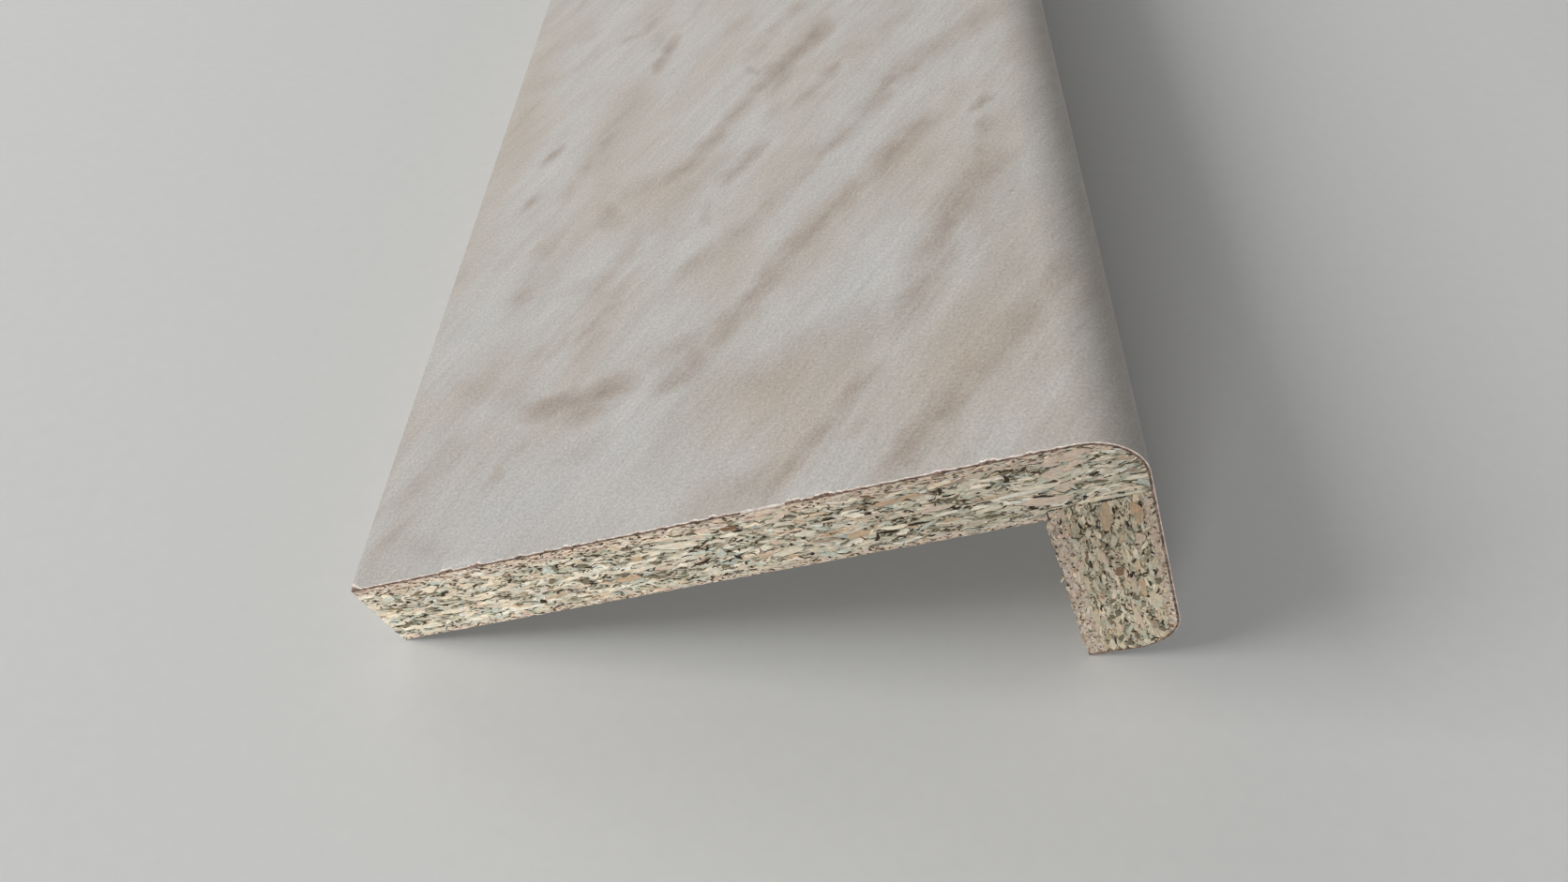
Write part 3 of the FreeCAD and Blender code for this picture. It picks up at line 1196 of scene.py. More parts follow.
def joined(name: str, meshes: Sequence[dict], inside_out: bool) -> bpy.types.Object:
    """Joins shaped copies of blanks into one mesh with their attributes.

    Args:
        name: The piece's name.
        meshes: What SawnSide.shaped returns for each kind of chip.
        inside_out: Whether the faces have to be turned round.

    Returns:
        The new object, linked to the scene.
    """
    corners, totals, base = [], [], 0
    for part in meshes:
        count, points = part["places"].shape[:2]
        offsets = base + np.arange(count) * points
        for face in part["faces"]:
            loop = np.array(face[::-1] if inside_out else face)
            corners.append((offsets[:, None] + loop[None, :]).ravel())
            totals.append(np.full(count, len(face)))
        base += count * points
    places, tint, grain = (
        np.concatenate([part[what].reshape(-1, 3) for part in meshes]) for what in ("places", "tint", "grain")
    )
    loops, total = np.concatenate(corners), np.concatenate(totals)
    mesh = bpy.data.meshes.new(name)
    mesh.vertices.add(len(places))
    mesh.vertices.foreach_set("co", places.astype(np.float32).ravel())
    mesh.loops.add(len(loops))
    mesh.loops.foreach_set("vertex_index", loops.astype(np.int32))
    mesh.polygons.add(len(total))
    mesh.polygons.foreach_set("loop_start", (np.cumsum(total) - total).astype(np.int32))
    mesh.update(calc_edges=True)
    write_attribute(mesh, "tint", "FLOAT_COLOR", np.column_stack([tint, np.ones(len(tint))]))
    write_attribute(mesh, "grain", "FLOAT_VECTOR", grain)
    write_attribute(mesh, "rim", "FLOAT", np.concatenate([part["rim"].ravel() for part in meshes]))
    piece = bpy.data.objects.new(name, mesh)
    bpy.context.scene.collection.objects.link(piece)
    return piece


BOARD_MARKS = landmarks({
    Tint.IVORY: (
        (30.2, 15.6, 9, 0.9, 1), (128, 9.8, 9.5, 1, 4), (43, 9.4, 5, 1, 4), (64, 3.3, 6.5, 0.4, 0),
        (115.6, 11.2, 4.6, 0.7, 4), (118.4, 6.9, 3, 0.6, 8), (85.4, 16, 4, 0.5, 3),
    ),
    Tint.ROSE: (
        (137.2, 2.7, 7.2, 1.4, 6), (134.4, 3.9, 4.2, 1.1, -10), (85.6, 1.5, 8.2, 1.2, 0),
        (83.8, 2.5, 4, 0.8, 3), (140.2, 1.9, 3, 0.9, -14),
    ),
    Tint.PALE: (
        (139.2, 6.9, 4, 2, 34), (136.6, 6.9, 4.4, 1.2, 16), (88.4, 2.3, 3, 0.9, -6), (134, 7.5, 5, 0.9, 8),
    ),
    Tint.CREAM: (
        (15.6, 12.3, 7.6, 1.7, 2), (15.2, 4.4, 3.6, 1.9, -8), (66.4, 5.8, 9.2, 2, -8),
        (85.4, 13.7, 6.4, 1.6, 3), (90.2, 9.3, 4.2, 1.6, 6), (8, 15.6, 6.5, 1.3, -3),
        (25, 9.8, 4.2, 1.3, 4), (131.5, 9, 8.5, 1.3, -5), (138.2, 15.2, 5.4, 0.9, 32),
        (144.2, 13.9, 6.6, 0.8, 4), (57.6, 10.6, 6.4, 1, 6), (3.2, 10.4, 3.8, 1.6, 12),
        (46.4, 9, 4.4, 1.2, -10), (100.4, 14.9, 4.2, 0.9, 2), (122.6, 12.4, 5.2, 1, 5),
    ),
    Tint.MINT: (
        (23.8, 14.5, 1.9, 1.5, 42), (111.3, 13.6, 4.6, 0.9, 30), (40.6, 6, 3.6, 1.5, -6),
        (55.2, 13.9, 3.4, 1, 12), (73.6, 10.2, 3.2, 2.2, 60), (5.4, 5, 3.4, 1.5, 20),
        (93.4, 8.8, 3, 1, -20), (34.6, 12.3, 2.2, 1, 8),
    ),
    Tint.BLUSH: (
        (132.4, 13.1, 9.4, 2.5, -7), (87.5, 3.4, 2.3, 1.4, 0), (138.4, 4.7, 4.6, 1.5, 24),
        (136.6, 9.6, 4.6, 1.1, 14), (114.5, 9.4, 6, 1.3, 3), (18.6, 6.9, 3.4, 1.1, 14),
        (62, 11.4, 4.4, 1, -4), (10, 9.6, 5.4, 0.8, 3), (135.8, 5.6, 5.6, 1.6, 6),
    ),
    Tint.TAN: (
        (53.7, 12.6, 5.2, 1.5, 3), (106, 5.5, 6.8, 1.2, 3), (110.6, 4.8, 4.8, 1.1, -2),
        (99.4, 12.5, 4.8, 2.2, 4), (102.9, 10.9, 4.4, 0.6, 57), (36.5, 14, 2.6, 0.7, 8),
        (81.4, 13.6, 3.2, 1, 6), (58.2, 7.2, 2.4, 1.3, -20), (108.7, 13, 2.4, 1.2, -30),
        (115.8, 13.2, 3.2, 1.1, 8), (45.2, 16.6, 3.4, 0.7, 2), (146.3, 5.8, 2.4, 1.2, -30),
    ),
    Tint.BROWN: (
        (93, 12.4, 5.2, 0.9, -5), (100, 4.9, 3.6, 0.9, 4), (1.8, 1, 3.4, 0.8, -4), (29, 3.2, 2, 0.5, 6),
        (118.8, 3.6, 4.2, 1, 4), (121.4, 9.4, 2.6, 0.8, -12), (12, 6.9, 1.3, 0.8, 30),
        (147, 9.1, 2, 1.3, -20),
    ),
    Tint.UMBER: (
        (77.7, 3.9, 3.3, 1.4, 3), (103.7, 2.7, 2.5, 0.7, -24), (51.7, 2.8, 1.5, 0.6, 10),
        (32.6, 4.8, 1.2, 0.9, 80),
    ),
    # MOSS and VOID marks are hollows and dark lines: painted shade
    Tint.MOSS: (
        (12, 4.9, 2, 0.8, 20), (4.7, 8, 3, 0.8, -20), (3.5, 14, 2.6, 0.9, 25), (11.3, 10, 1.9, 0.5, 15),
        (23.5, 8, 1.5, 0.9, 42), (26.8, 10.2, 1.7, 0.7, -20), (29.6, 14.1, 1.7, 0.9, 5),
        (34, 7, 4, 0.5, -4), (42, 5.5, 2, 0.9, 80), (47.5, 6.2, 2.7, 1, -20), (45.7, 11.2, 1.9, 1.5, 30),
        (53, 11.1, 2.5, 0.7, 0), (57.5, 4, 2.7, 0.9, 0), (58.8, 13.5, 3.3, 1.2, -15),
        (60.8, 9.3, 2.3, 1, -8), (60.7, 12.6, 2.6, 0.5, 5), (73.7, 7.2, 1.4, 0.6, 0),
        (72.8, 14.2, 2.1, 0.9, 24), (39.5, 9, 2.2, 1.1, 70), (88.4, 6.9, 1.5, 1.2, 60),
        (141.7, 10.4, 2.3, 0.9, -8), (96.4, 14, 2.2, 0.8, 40), (117.6, 7.6, 2.8, 0.7, 20),
        (65, 13.8, 1.8, 0.8, 40), (122.4, 14.6, 2.8, 0.5, -10), (133.6, 5, 2, 0.5, 30),
        (139, 5.6, 1.6, 0.5, -30), (82.6, 8.4, 3.2, 0.5, 6),
    ),
    Tint.VOID: (
        (17.4, 6.2, 2.3, 0.6, 12), (9, 12, 2.2, 0.4, 5), (34.6, 14.4, 1.4, 1.1, 0), (75, 4.2, 1.7, 0.5, 4),
        (78.8, 4.9, 1.7, 0.6, 0), (70, 7.4, 1.7, 0.8, -12), (71.8, 8.3, 1.6, 0.5, 55),
        (70, 11.7, 2.3, 0.6, 26), (76.1, 12.3, 2.2, 0.7, -62), (77, 14.4, 1.3, 0.5, 70),
        (104.3, 13.2, 3.9, 0.7, -5), (102.2, 14.2, 2.6, 0.8, 62), (110, 12.5, 3.1, 0.8, -4),
        (95.5, 6.6, 3.3, 0.5, -4), (102.5, 7.2, 1.5, 0.5, -8), (115.9, 5, 1.8, 0.8, 82),
        (79.3, 4.9, 1.6, 0.7, 0), (89.5, 15.5, 1.1, 0.7, 20), (107.7, 10.2, 0.9, 0.6, 0),
        (127.2, 5.4, 1.7, 0.9, 78), (90.3, 7.4, 1.3, 0.4, -40), (141.1, 8.2, 1.8, 0.6, 12),
        (131.9, 11.6, 3.6, 0.4, -10), (129.8, 14.4, 1.6, 0.6, -26), (135.7, 14.7, 1.4, 0.6, 10),
        (138.6, 13.9, 1.2, 0.6, 40), (123.8, 6.6, 1.2, 0.5, 10), (15.2, 9.9, 1.2, 0.4, -20),
    ),
})
STRIP_MARKS = landmarks({
    Tint.IVORY: ((144.6, 32.7, 3.5, 1.2, -4), (147.4, 26, 1.8, 0.6, 60), (139.6, 52.6, 2.6, 0.9, 10)),
    Tint.CREAM: (
        (137.4, 20.2, 2.8, 0.8, 3), (137.6, 24.5, 3.2, 1.2, 8), (139.2, 25, 3.4, 1.2, -14),
        (138.2, 38.6, 5.2, 0.9, 8), (136.4, 62.4, 4.6, 1.6, 2), (138.3, 63.3, 2.4, 1.4, 0),
        (143.1, 63, 2.2, 1.4, 0), (142.6, 32, 3.6, 0.8, -6), (139.2, 44.6, 3.4, 1.1, 12),
        (136, 46.8, 4, 0.8, -4), (144, 55.8, 3.6, 0.9, -8),
    ),
    Tint.PALE: (
        (146.7, 48.8, 5.6, 2.6, 2), (138.9, 20.6, 4, 0.9, -4), (141.6, 27.6, 3.6, 1.2, 4),
        (146.2, 41.2, 3.4, 1.2, -8), (136.4, 40.6, 4.2, 1, -6), (147.4, 55.6, 2.4, 1.5, 0),
    ),
    Tint.MINT: ((140.4, 57.4, 4.4, 1, 22), (138, 30.2, 3, 0.8, -10), (143.6, 44.6, 3.6, 0.9, 14)),
    Tint.BEIGE: (
        (134.9, 51.4, 6.6, 1.3, 2), (142, 42.2, 3.4, 1.4, -6), (147.7, 36.6, 3.6, 1.2, 4),
        (137.4, 34.4, 2.8, 1.2, 6), (144.4, 36.6, 3.6, 1.4, 8),
    ),
    Tint.BLUSH: (
        (138.7, 31.8, 5, 1.9, -10), (146.1, 28.4, 3.6, 1.9, 12), (142.5, 53.6, 11, 1.1, -8),
        (138.6, 56.2, 3.6, 1.3, -8),
    ),
    Tint.TAN: (
        (141.1, 20.7, 8.2, 2.3, 2), (146.5, 20.8, 6.6, 2.4, -6), (143.4, 26.2, 6, 0.5, 5),
        (144.5, 43.8, 6.6, 1.5, 0), (147.6, 51.6, 5, 0.3, -3), (146.2, 62, 3, 0.5, 52),
        (134.6, 22.2, 4.6, 0.8, -2), (136, 57.6, 5.2, 0.5, 0),
    ),
    Tint.BROWN: (
        (137.4, 43.8, 3.3, 0.9, 0), (145.4, 57, 3.5, 1.3, -6), (140.9, 22.6, 2.4, 0.9, 10),
        (146, 21.2, 1.6, 0.7, 0), (141.4, 19.3, 1.8, 0.8, -8), (134.2, 27, 2.4, 0.6, 0),
    ),
    Tint.UMBER: (
        (141.1, 37.5, 2.7, 1.9, 3), (137.4, 54.4, 1.3, 0.9, 20), (146.5, 59.3, 2.3, 1.1, -10),
        (148, 58.4, 1.9, 1, -14),
    ),
    # MOSS and VOID marks are hollows and dark lines: painted shade
    Tint.MOSS: (
        (147.6, 42.5, 2.6, 1.2, -10), (137.5, 52.4, 1.8, 1.1, 20), (139, 51, 2.5, 1.1, 6),
        (138.4, 60, 2.1, 0.9, 12), (141.4, 59.7, 2.9, 0.9, -14), (139.8, 62.3, 2.4, 1, 10),
        (136.2, 31.4, 3.6, 0.6, 4), (135.6, 45.6, 3.4, 0.4, -4), (141.9, 36, 1.9, 0.6, 20),
        (142.9, 46.6, 2.6, 0.9, -8), (138.7, 46.8, 1.7, 0.8, 30), (140, 29.6, 1.8, 1, 0),
        (145, 25.4, 3, 0.4, -10), (137, 28, 3.2, 0.4, 4), (140, 33.6, 3.2, 0.4, 4),
    ),
    Tint.VOID: (
        (131.8, 17.1, 3.2, 0.34, 0), (142.7, 19, 2.4, 0.4, -2), (147.3, 19.1, 1.3, 0.5, -8),
        (143.2, 21.3, 0.8, 0.4, 0), (140.5, 24.7, 0.8, 0.8, 50), (144.4, 23.6, 1.3, 0.5, -8),
        (147.5, 27.4, 1.3, 0.35, 6), (140.1, 28.7, 0.9, 0.6, 20), (136.6, 33.4, 2.3, 0.5, 2),
        (140.5, 32.9, 0.8, 0.4, 0), (143.1, 39.1, 1.5, 0.7, 20), (144.6, 39.5, 0.8, 0.5, 70),
        (145.8, 39.3, 0.9, 0.5, 60), (147.1, 38.8, 0.7, 0.5, 0), (145, 47, 0.9, 0.6, 0),
        (147, 45.8, 1.4, 0.4, 24), (147.4, 46.8, 0.9, 0.35, 70), (140.1, 54.2, 1.9, 0.5, -16),
        (137.2, 60.5, 2.9, 0.35, 0), (136.1, 48.6, 2.4, 0.3, 2), (142.4, 15.95, 7.6, 0.3, 88),
        (139.4, 22.8, 1.6, 0.4, -30), (138, 22, 1.8, 0.35, -24), (138.5, 37, 2, 0.3, -8),
        (144.3, 52.2, 1, 0.5, 0), (132.6, 15.85, 1.9, 0.25, 84), (133.6, 19.6, 1.8, 0.3, 14),
        (145.9, 33, 1.2, 0.4, 0), (146.4, 35.6, 1.4, 0.35, 10),
    ),
})
STRIP_SPLINTERS = landmarks({
    Tint.CREAM: ((131.2, 20.7, 1.5, 0.5, 6), (130.95, 37.1, 2.3, 0.5, 36)),
    Tint.ROSE: ((131.3, 32.6, 1.8, 0.45, 0), (131.25, 40.4, 2, 0.6, -4), (131.3, 52.4, 2.4, 0.4, 2)),
    Tint.BROWN: ((131.35, 58.2, 5, 0.9, -4), (131.3, 26.4, 2.2, 0.35, 2)),
})


@dataclass
class Chipboard:
    """The panel and the strip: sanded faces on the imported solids, and chips on every sawn side."""

    section: Section
    board_skins: tuple[float, float] = (1.5, 2.4)
    strip_skins: tuple[float, float] = (3.1, 1.8)

    def bands(self, low: float, high: float, skins: tuple[float, float]) -> tuple[Band, ...]:
        """Divides a thickness into its first fine skin, the coarse core and the last fine skin."""
        inner, outer = low + skins[0], high - skins[1]
        return Band(low, inner, True), Band(inner, outer, False), Band(outer, high, True)

    def build(self) -> list[bpy.types.Object]:
        """Dresses the two solids and builds the chips of the five sawn sides.

        Returns:
            The chip pieces.
        """
        for node in ("sill_board", "nose_strip"):
            dressed = frame["nodes"][node].data.materials
            dressed.clear()
            dressed.append(SandedChipboard(self.section, f"sanded_{node}").material())
        chips = PressedChips().material()
        blanks = {(kind.sides, kind.flat): Blank.modelled(kind.sides, kind.flat) for kind in KINDS}
        return [side.build(blanks, chips) for side in self.sides()]

    def sides(self) -> tuple[SawnSide, ...]:
        """Lists the sawn sides: both ends of the panel and of the strip, and the rear edge.

        Returns:
            The five sides.
        """
        section, half = self.section, self.section.half_length
        panel = {
            "slot": "board_chipboard", "section": section,
            "bands": self.bands(section.underside, section.board_top, self.board_skins),
        }
        panel_end = {**panel, "span": (0.0, section.core_front), "outline": section.within_board}
        strip_end = {
            "slot": "strip_chipboard", "section": section,
            "bands": self.bands(section.strip_inner, section.core_front, self.strip_skins),
            "span": (section.strip_bottom, section.tongue_top), "outline": section.within_strip,
            "stretch": 0.9, "slabs": 0.035, "gaps": 0.12, "pores": 0.09,
            "hue": (1.0, 0.97, 0.915), "skin": 0.98, "calm": 0.85, "closed": 0.35,
        }
        return (
            SawnSide(
                "near_board_chips", side=Side.NEAR_BOARD, level=-half, seed=11, skin=1.03, calm=0.94,
                # painted light: tone makes the near panel end lighter at the rear edge, on the key lamp's
                # side, and darker towards the nose
                gaps=0.21, tone=(1.26, 1.22, 1.07, 0.9, 0.79), landmarks=BOARD_MARKS, **panel_end,
            ),
            SawnSide(
                "near_strip_chips", side=Side.NEAR_STRIP, level=-half, seed=12, landmarks=STRIP_MARKS,
                # painted shade: tone darkens the near strip end overall, and more towards its top
                tone=(0.89, 0.92, 0.82, 0.74, 0.71), splinters=STRIP_SPLINTERS, **strip_end,
            ),
            SawnSide(
                # painted light: a milder fall-off of tone towards the nose
                "far_board_chips", side=Side.FAR_BOARD, level=half, seed=13, tone=(1.0, 0.95), **panel_end,
            ),
            SawnSide(
                # painted shade: tone darkens the far strip end overall and a little towards its top
                "far_strip_chips", side=Side.FAR_STRIP, level=half, seed=14, tone=(0.9, 0.86), **strip_end,
            ),
            SawnSide(
                "rear_edge_chips", side=Side.REAR, level=0.0, span=(-half, half), outline=section.within_rear,
                seed=15, stretch=1.3, flakes=0.24, slabs=0.014, curls=0.0, gaps=0.1, pores=0.04, bedded=False,
                **panel,
            ),
        )


@dataclass(frozen=True)
class Break:
    """A place where the saw broke the laminate's edge: its middle, how far it reaches and how deep."""

    middle: float
    reach: float
    deep: float


BREAKS = tuple(Break(*values) for values in (
    (9, 0.9, 0.12), (16, 0.7, 0.14), (21.6, 1.6, 0.64), (24.8, 0.5, 0.16), (27.8, 1.7, 0.58),
    (33.2, 0.6, 0.16), (37.4, 1, 0.4), (40.6, 0.5, 0.16), (43.2, 0.6, 0.42), (47, 0.8, 0.44),
    (49.3, 0.8, 0.4), (53.8, 0.7, 0.26), (57.6, 0.5, 0.14), (61.5, 0.7, 0.26), (66.2, 0.6, 0.16),
    (69.3, 0.6, 0.22), (72.5, 0.8, 0.32), (76.2, 0.9, 0.46), (78.6, 0.5, 0.26), (91.2, 1.5, 0.7),
    (93.4, 0.5, 0.2), (96.7, 1.9, 0.6), (99.3, 0.6, 0.26), (100.6, 0.5, 0.26), (103, 0.6, 0.24),
    (107.2, 0.6, 0.14), (111.6, 0.7, 0.18), (117, 1.5, 0.3), (120.6, 0.5, 0.14), (125.1, 1.6, 0.62),
    (129, 0.5, 0.14), (131.9, 0.7, 0.44), (133.7, 0.5, 0.22), (136.6, 0.6, 0.14),
))


@dataclass
class LaminateSheet:
    """The one sheet of laminate, bent over the nose, with its sawn ends broken along the top.

    Each end face has four lines of points through the thickness. layer_depths says how deep they
    lie and layer_breaks how much of a break each takes, both as shares.
    """

    section: Section
    arc_steps: int = 14
    end_zone: float = 3.0
    column: float = 10.0
    row: float = 50.0
    fine_columns: int = 34
    fine_rows: int = 3
    layers: int = 3
    layer_depths: tuple[float, ...] = (0.0, 0.3, 0.58, 1.0)
    layer_breaks: tuple[float, ...] = (1.0, 0.66, 0.12, 0.0)
    lip: float = 0.11
    stand_out: float = 0.16
    grown_count: int = 74
    grown_depth: float = 0.55
    lost_corner: tuple[float, float] = (1.7, 2.4)
    smudge: tuple[float, float] = (81.4, 89.7)
    smooth_below: float = math.radians(32)
    seed: int = 21

    def __post_init__(self) -> None:
        """Starts the sheet's own random numbers."""
        self.rng = np.random.default_rng(self.seed)

    def build(self, materials: Sequence[bpy.types.Material]) -> bpy.types.Object:
        """Models the sheet and breaks its ends.

        Args:
            materials: The decor, the broken decor layer and the brown layers.

        Returns:
            The finished piece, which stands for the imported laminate.
        """
        sheet = self.bent()
        self.thicken(sheet)
        self.finish(sheet, self.break_ends(sheet), materials)
        return sheet

    def unrolled(self, u: np.ndarray, w: np.ndarray) -> Points:
        """Finds how far along the sheet and how deep in it each point of the section is.

        Args:
            u: Places from the rear edge.
            w: Heights above the underside.

        Returns:
            The length along the outer face from the rear edge, and the depth below that face.
        """
        sec = self.section
        (tu, tw), (lu, lw) = sec.top_centre, sec.lower_centre
        front_starts = tu + sec.top_radius * math.pi / 2
        front_ends = front_starts + (tw - lw)
        below_starts = front_ends + sec.lower_radius * math.pi / 2
        stretches = (
            (u <= tu) & (w > sec.underside), (u > tu) & (w > tw), (u <= lu) & (w < sec.underside), w > lw,
        )
        top_arc = tu + sec.top_radius * np.arctan2(u - tu, w - tw)
        lower_arc = front_ends + sec.lower_radius * np.arctan2(lw - w, u - lu)
        lengths = (u, top_arc, below_starts + (lu - u), front_starts + (tw - w))
        in_top_arc = sec.top_radius - np.hypot(u - tu, w - tw)
        in_lower_arc = sec.lower_radius - np.hypot(u - lu, w - lw)
        depths = (sec.laminate_top - w, in_top_arc, w - sec.nose_bottom, sec.depth - u)
        return np.select(stretches, lengths, lower_arc), np.select(stretches, depths, in_lower_arc)

    def inward(self, places: np.ndarray) -> np.ndarray:
        """The unit direction into the sheet at each point, square to its outer face.

        Args:
            places: The (u, y, w) places.

        Returns:
            A direction for each place.
        """
        (tu, tw), (lu, lw) = self.section.top_centre, self.section.lower_centre
        u, w = places[:, 0], places[:, 2]
        du = np.where(w > lw, np.maximum(u - tu, 0), np.maximum(u - lu, 0))
        dw = np.where(w > lw, np.maximum(w - tw, 0), np.minimum(w - lw, 0))
        length = np.maximum(np.hypot(du, dw), TINY)
        return np.stack([-du / length, np.zeros_like(u), -dw / length], axis=1)

    def bent(self) -> bpy.types.Object:
        """Bends the outer face from a plane: over the nose, down it, and under the strip.

        Returns:
            The open surface of the sheet's outer face.
        """
        sec = self.section
        (tu, tw), (lu, lw) = sec.top_centre, sec.lower_centre
        deselect_all()
        bpy.ops.mesh.primitive_plane_add(size=1.0)
        sheet = bpy.context.object
        sheet.name = sheet.data.name = "laminate_sheet"
        whole = 2 * (sec.half_length + self.stand_out)
        middle = Matrix.Translation((tu / 2, 0, sec.laminate_top))
        sheet.data.transform(middle @ Matrix.Diagonal((tu, whole, 1, 1)))
        self.select_edges(sheet, lambda a, b: min(a.x, b.x) > tu - 1)
        quarter = math.radians(-90)
        bpy.ops.mesh.spin(steps=self.arc_steps, angle=quarter, center=(tu, 0, tw), axis=(0, 1, 0))
        bpy.ops.mesh.extrude_edges_move(TRANSFORM_OT_translate={"value": (0, 0, lw - tw)})
        bpy.ops.mesh.spin(steps=self.arc_steps, angle=quarter, center=(lu, 0, lw), axis=(0, 1, 0))
        bpy.ops.mesh.extrude_edges_move(TRANSFORM_OT_translate={"value": (sec.strip_inner - lu, 0, 0)})
        self.divide()
        bpy.ops.object.mode_set(mode="OBJECT")
        return sheet

    def divide(self) -> None:
        """Cuts the surface into columns and rows, with a short row at each end."""
        sec = self.section
        cuts = [((u, 0, 0), (1, 0, 0)) for u in np.arange(self.column, sec.top_centre[0] - 1, self.column)]
        heights = np.arange(sec.lower_centre[1], sec.top_centre[1], self.column)[1:]
        cuts += [((0, 0, w), (0, 0, 1)) for w in heights]
        inner_end = sec.half_length - self.end_zone
        rows = [*np.arange(-inner_end + self.row, inner_end - 1, self.row), -inner_end, inner_end]
        cuts += [((0, y, 0), (0, 1, 0)) for y in rows]
        for place, normal in cuts:
            bpy.ops.mesh.select_all(action="SELECT")
            bpy.ops.mesh.bisect(plane_co=tuple(float(x) for x in place), plane_no=normal)
        bpy.ops.mesh.select_all(action="SELECT")
        bpy.ops.mesh.remove_doubles(threshold=0.001)

    def select_edges(self, sheet: bpy.types.Object, chosen: Callable[[Vector, Vector], bool]) -> None:
        """Selects the edges that a test on their two ends chooses, and stays in edit mode.

        Args:
            sheet: The sheet.
            chosen: The test.
        """
        bpy.ops.object.mode_set(mode="EDIT")
        bpy.ops.mesh.select_mode(type="EDGE")
        bpy.ops.mesh.select_all(action="DESELECT")
        bpy.ops.object.mode_set(mode="OBJECT")
        points = sheet.data.vertices
        for edge in sheet.data.edges:
            edge.select = bool(chosen(*(points[v].co for v in edge.vertices)))
        bpy.ops.object.mode_set(mode="EDIT")

    def in_end(self, a: Vector, b: Vector) -> bool:
        """Whether an edge lies in the part of an end that stands out."""
        return min(abs(a.y), abs(b.y)) > self.section.half_length and a.y * b.y > 0

    def through(self, a: Vector, b: Vector) -> bool:
        """Whether an edge runs through the thickness."""
        depth = self.unrolled(np.array([a.x, b.x]), np.array([a.z, b.z]))[1]
        return abs(depth[0] - depth[1]) > self.section.laminate * 0.8

    def face_outwards(self) -> None:
        """Turns all the faces outwards and leaves edit mode."""
        bpy.ops.object.mode_set(mode="EDIT")
        bpy.ops.mesh.select_all(action="SELECT")
        bpy.ops.mesh.normals_make_consistent(inside=False)
        bpy.ops.object.mode_set(mode="OBJECT")

    def thicken(self, sheet: bpy.types.Object) -> None:
        """Divides the end edges finely and gives the surface its thickness and its layers.

        Args:
            sheet: The open surface.
        """
        select_only(sheet)
        long = self.column / 2
        self.select_edges(sheet, lambda a, b: self.in_end(a, b) and (a - b).length > long)
        bpy.ops.mesh.subdivide(number_cuts=self.fine_columns, ngon=True)
        self.select_edges(sheet, lambda a, b: self.in_end(a, b) and (a - b).length <= long)
        bpy.ops.mesh.subdivide(number_cuts=self.fine_rows, ngon=True)
        self.face_outwards()
        top = max(sheet.data.polygons, key=lambda face: face.center.z)
        solid = sheet.modifiers.new("thickness", "SOLIDIFY")
        solid.thickness = self.section.laminate
        solid.offset = -1.0 if top.normal.z > 0 else 1.0
        solid.use_even_offset = True
        bpy.ops.object.modifier_apply(modifier=solid.name)
        self.face_outwards()
        self.select_edges(sheet, lambda a, b: self.in_end(a, b) and self.through(a, b))
        bpy.ops.mesh.subdivide(number_cuts=self.layers - 1, ngon=True)
        bpy.ops.object.mode_set(mode="OBJECT")

    def grown_breaks(self) -> list[Break]:
        """Breaks for the end that the photo doesn't show, most of them slight.

        Returns:
            The breaks.
        """
        middles = self.rng.uniform(0.0, self.section.top_centre[0], self.grown_count)
        deep = self.grown_depth * (0.08 + self.rng.uniform(0.0, 1.22, middles.size) ** 3.2)
        reach = self.rng.uniform(0.3, 1.5, middles.size)
        return [Break(*values) for values in zip(middles, reach, deep)]

    def jagged(self, s: np.ndarray, pitch: float, low: float, high: float) -> np.ndarray:
        """The height of a jagged line at each place s, between random heights a pitch apart."""
        knots = np.arange(0, 260, pitch)
        return np.interp(s, knots, self.rng.uniform(low, high, knots.size))

    def notches(self, s: np.ndarray, breaks: Sequence[Break]) -> np.ndarray:
        """The depth of the breaks along one end, which are deep on the top and slight on the nose.

        Args:
            s: Places along the sheet.
            breaks: The breaks of this end.

        Returns:
            The depth at each place, in millimetres.
        """
        depth = np.zeros_like(s)
        uneven = self.jagged(s, 0.3, 0.6, 1.2)
        for one in breaks:
            within = np.clip(1 - ((s - one.middle) / one.reach) ** 4, 0, 1)
            depth = np.maximum(depth, one.deep * uneven * within)
        fade = np.clip((self.section.top_centre[0] + 1.5 - s) / 3.0, 0.0, 1.0)
        ripple = self.jagged(s, 0.35, 0.0, 0.1)
        return depth * fade + ripple * (0.25 + 0.75 * fade)

    def break_ends(self, sheet: bpy.types.Object) -> np.ndarray:
        """Breaks the decor layer back along both ends.

        Args:
            sheet: The thick sheet.

        Returns:
            The layer that each point of the sheet lies on, from 0 on the outer face.
        """
        mesh = sheet.data
        places = np.array([vertex.co for vertex in mesh.vertices])
        s, t = self.unrolled(places[:, 0], places[:, 2])
        whole = self.section.laminate
        band = np.rint(np.clip(t / whole, 0, 1) * self.layers).astype(int)
        sink, share = np.array(self.layer_depths) * whole, np.array(self.layer_breaks)
        lost, along = self.lost_corner
        for sign in (-1, 1):
            at_end = places[:, 1] * sign > self.section.half_length
            depth = self.notches(s[at_end], BREAKS if sign < 0 else self.grown_breaks())
            if sign < 0:
                depth = np.maximum(depth, lost * np.clip(1 - s[at_end] / along, 0, 1))
            layer = band[at_end]
            places[at_end, 1] -= sign * (depth * share[layer] + self.lip * (layer == 0))
            places[at_end] += self.inward(places[at_end]) * (sink[layer] - t[at_end])[:, None]
        mesh.vertices.foreach_set("co", places.astype(np.float32).ravel())
        mesh.update()
        return band

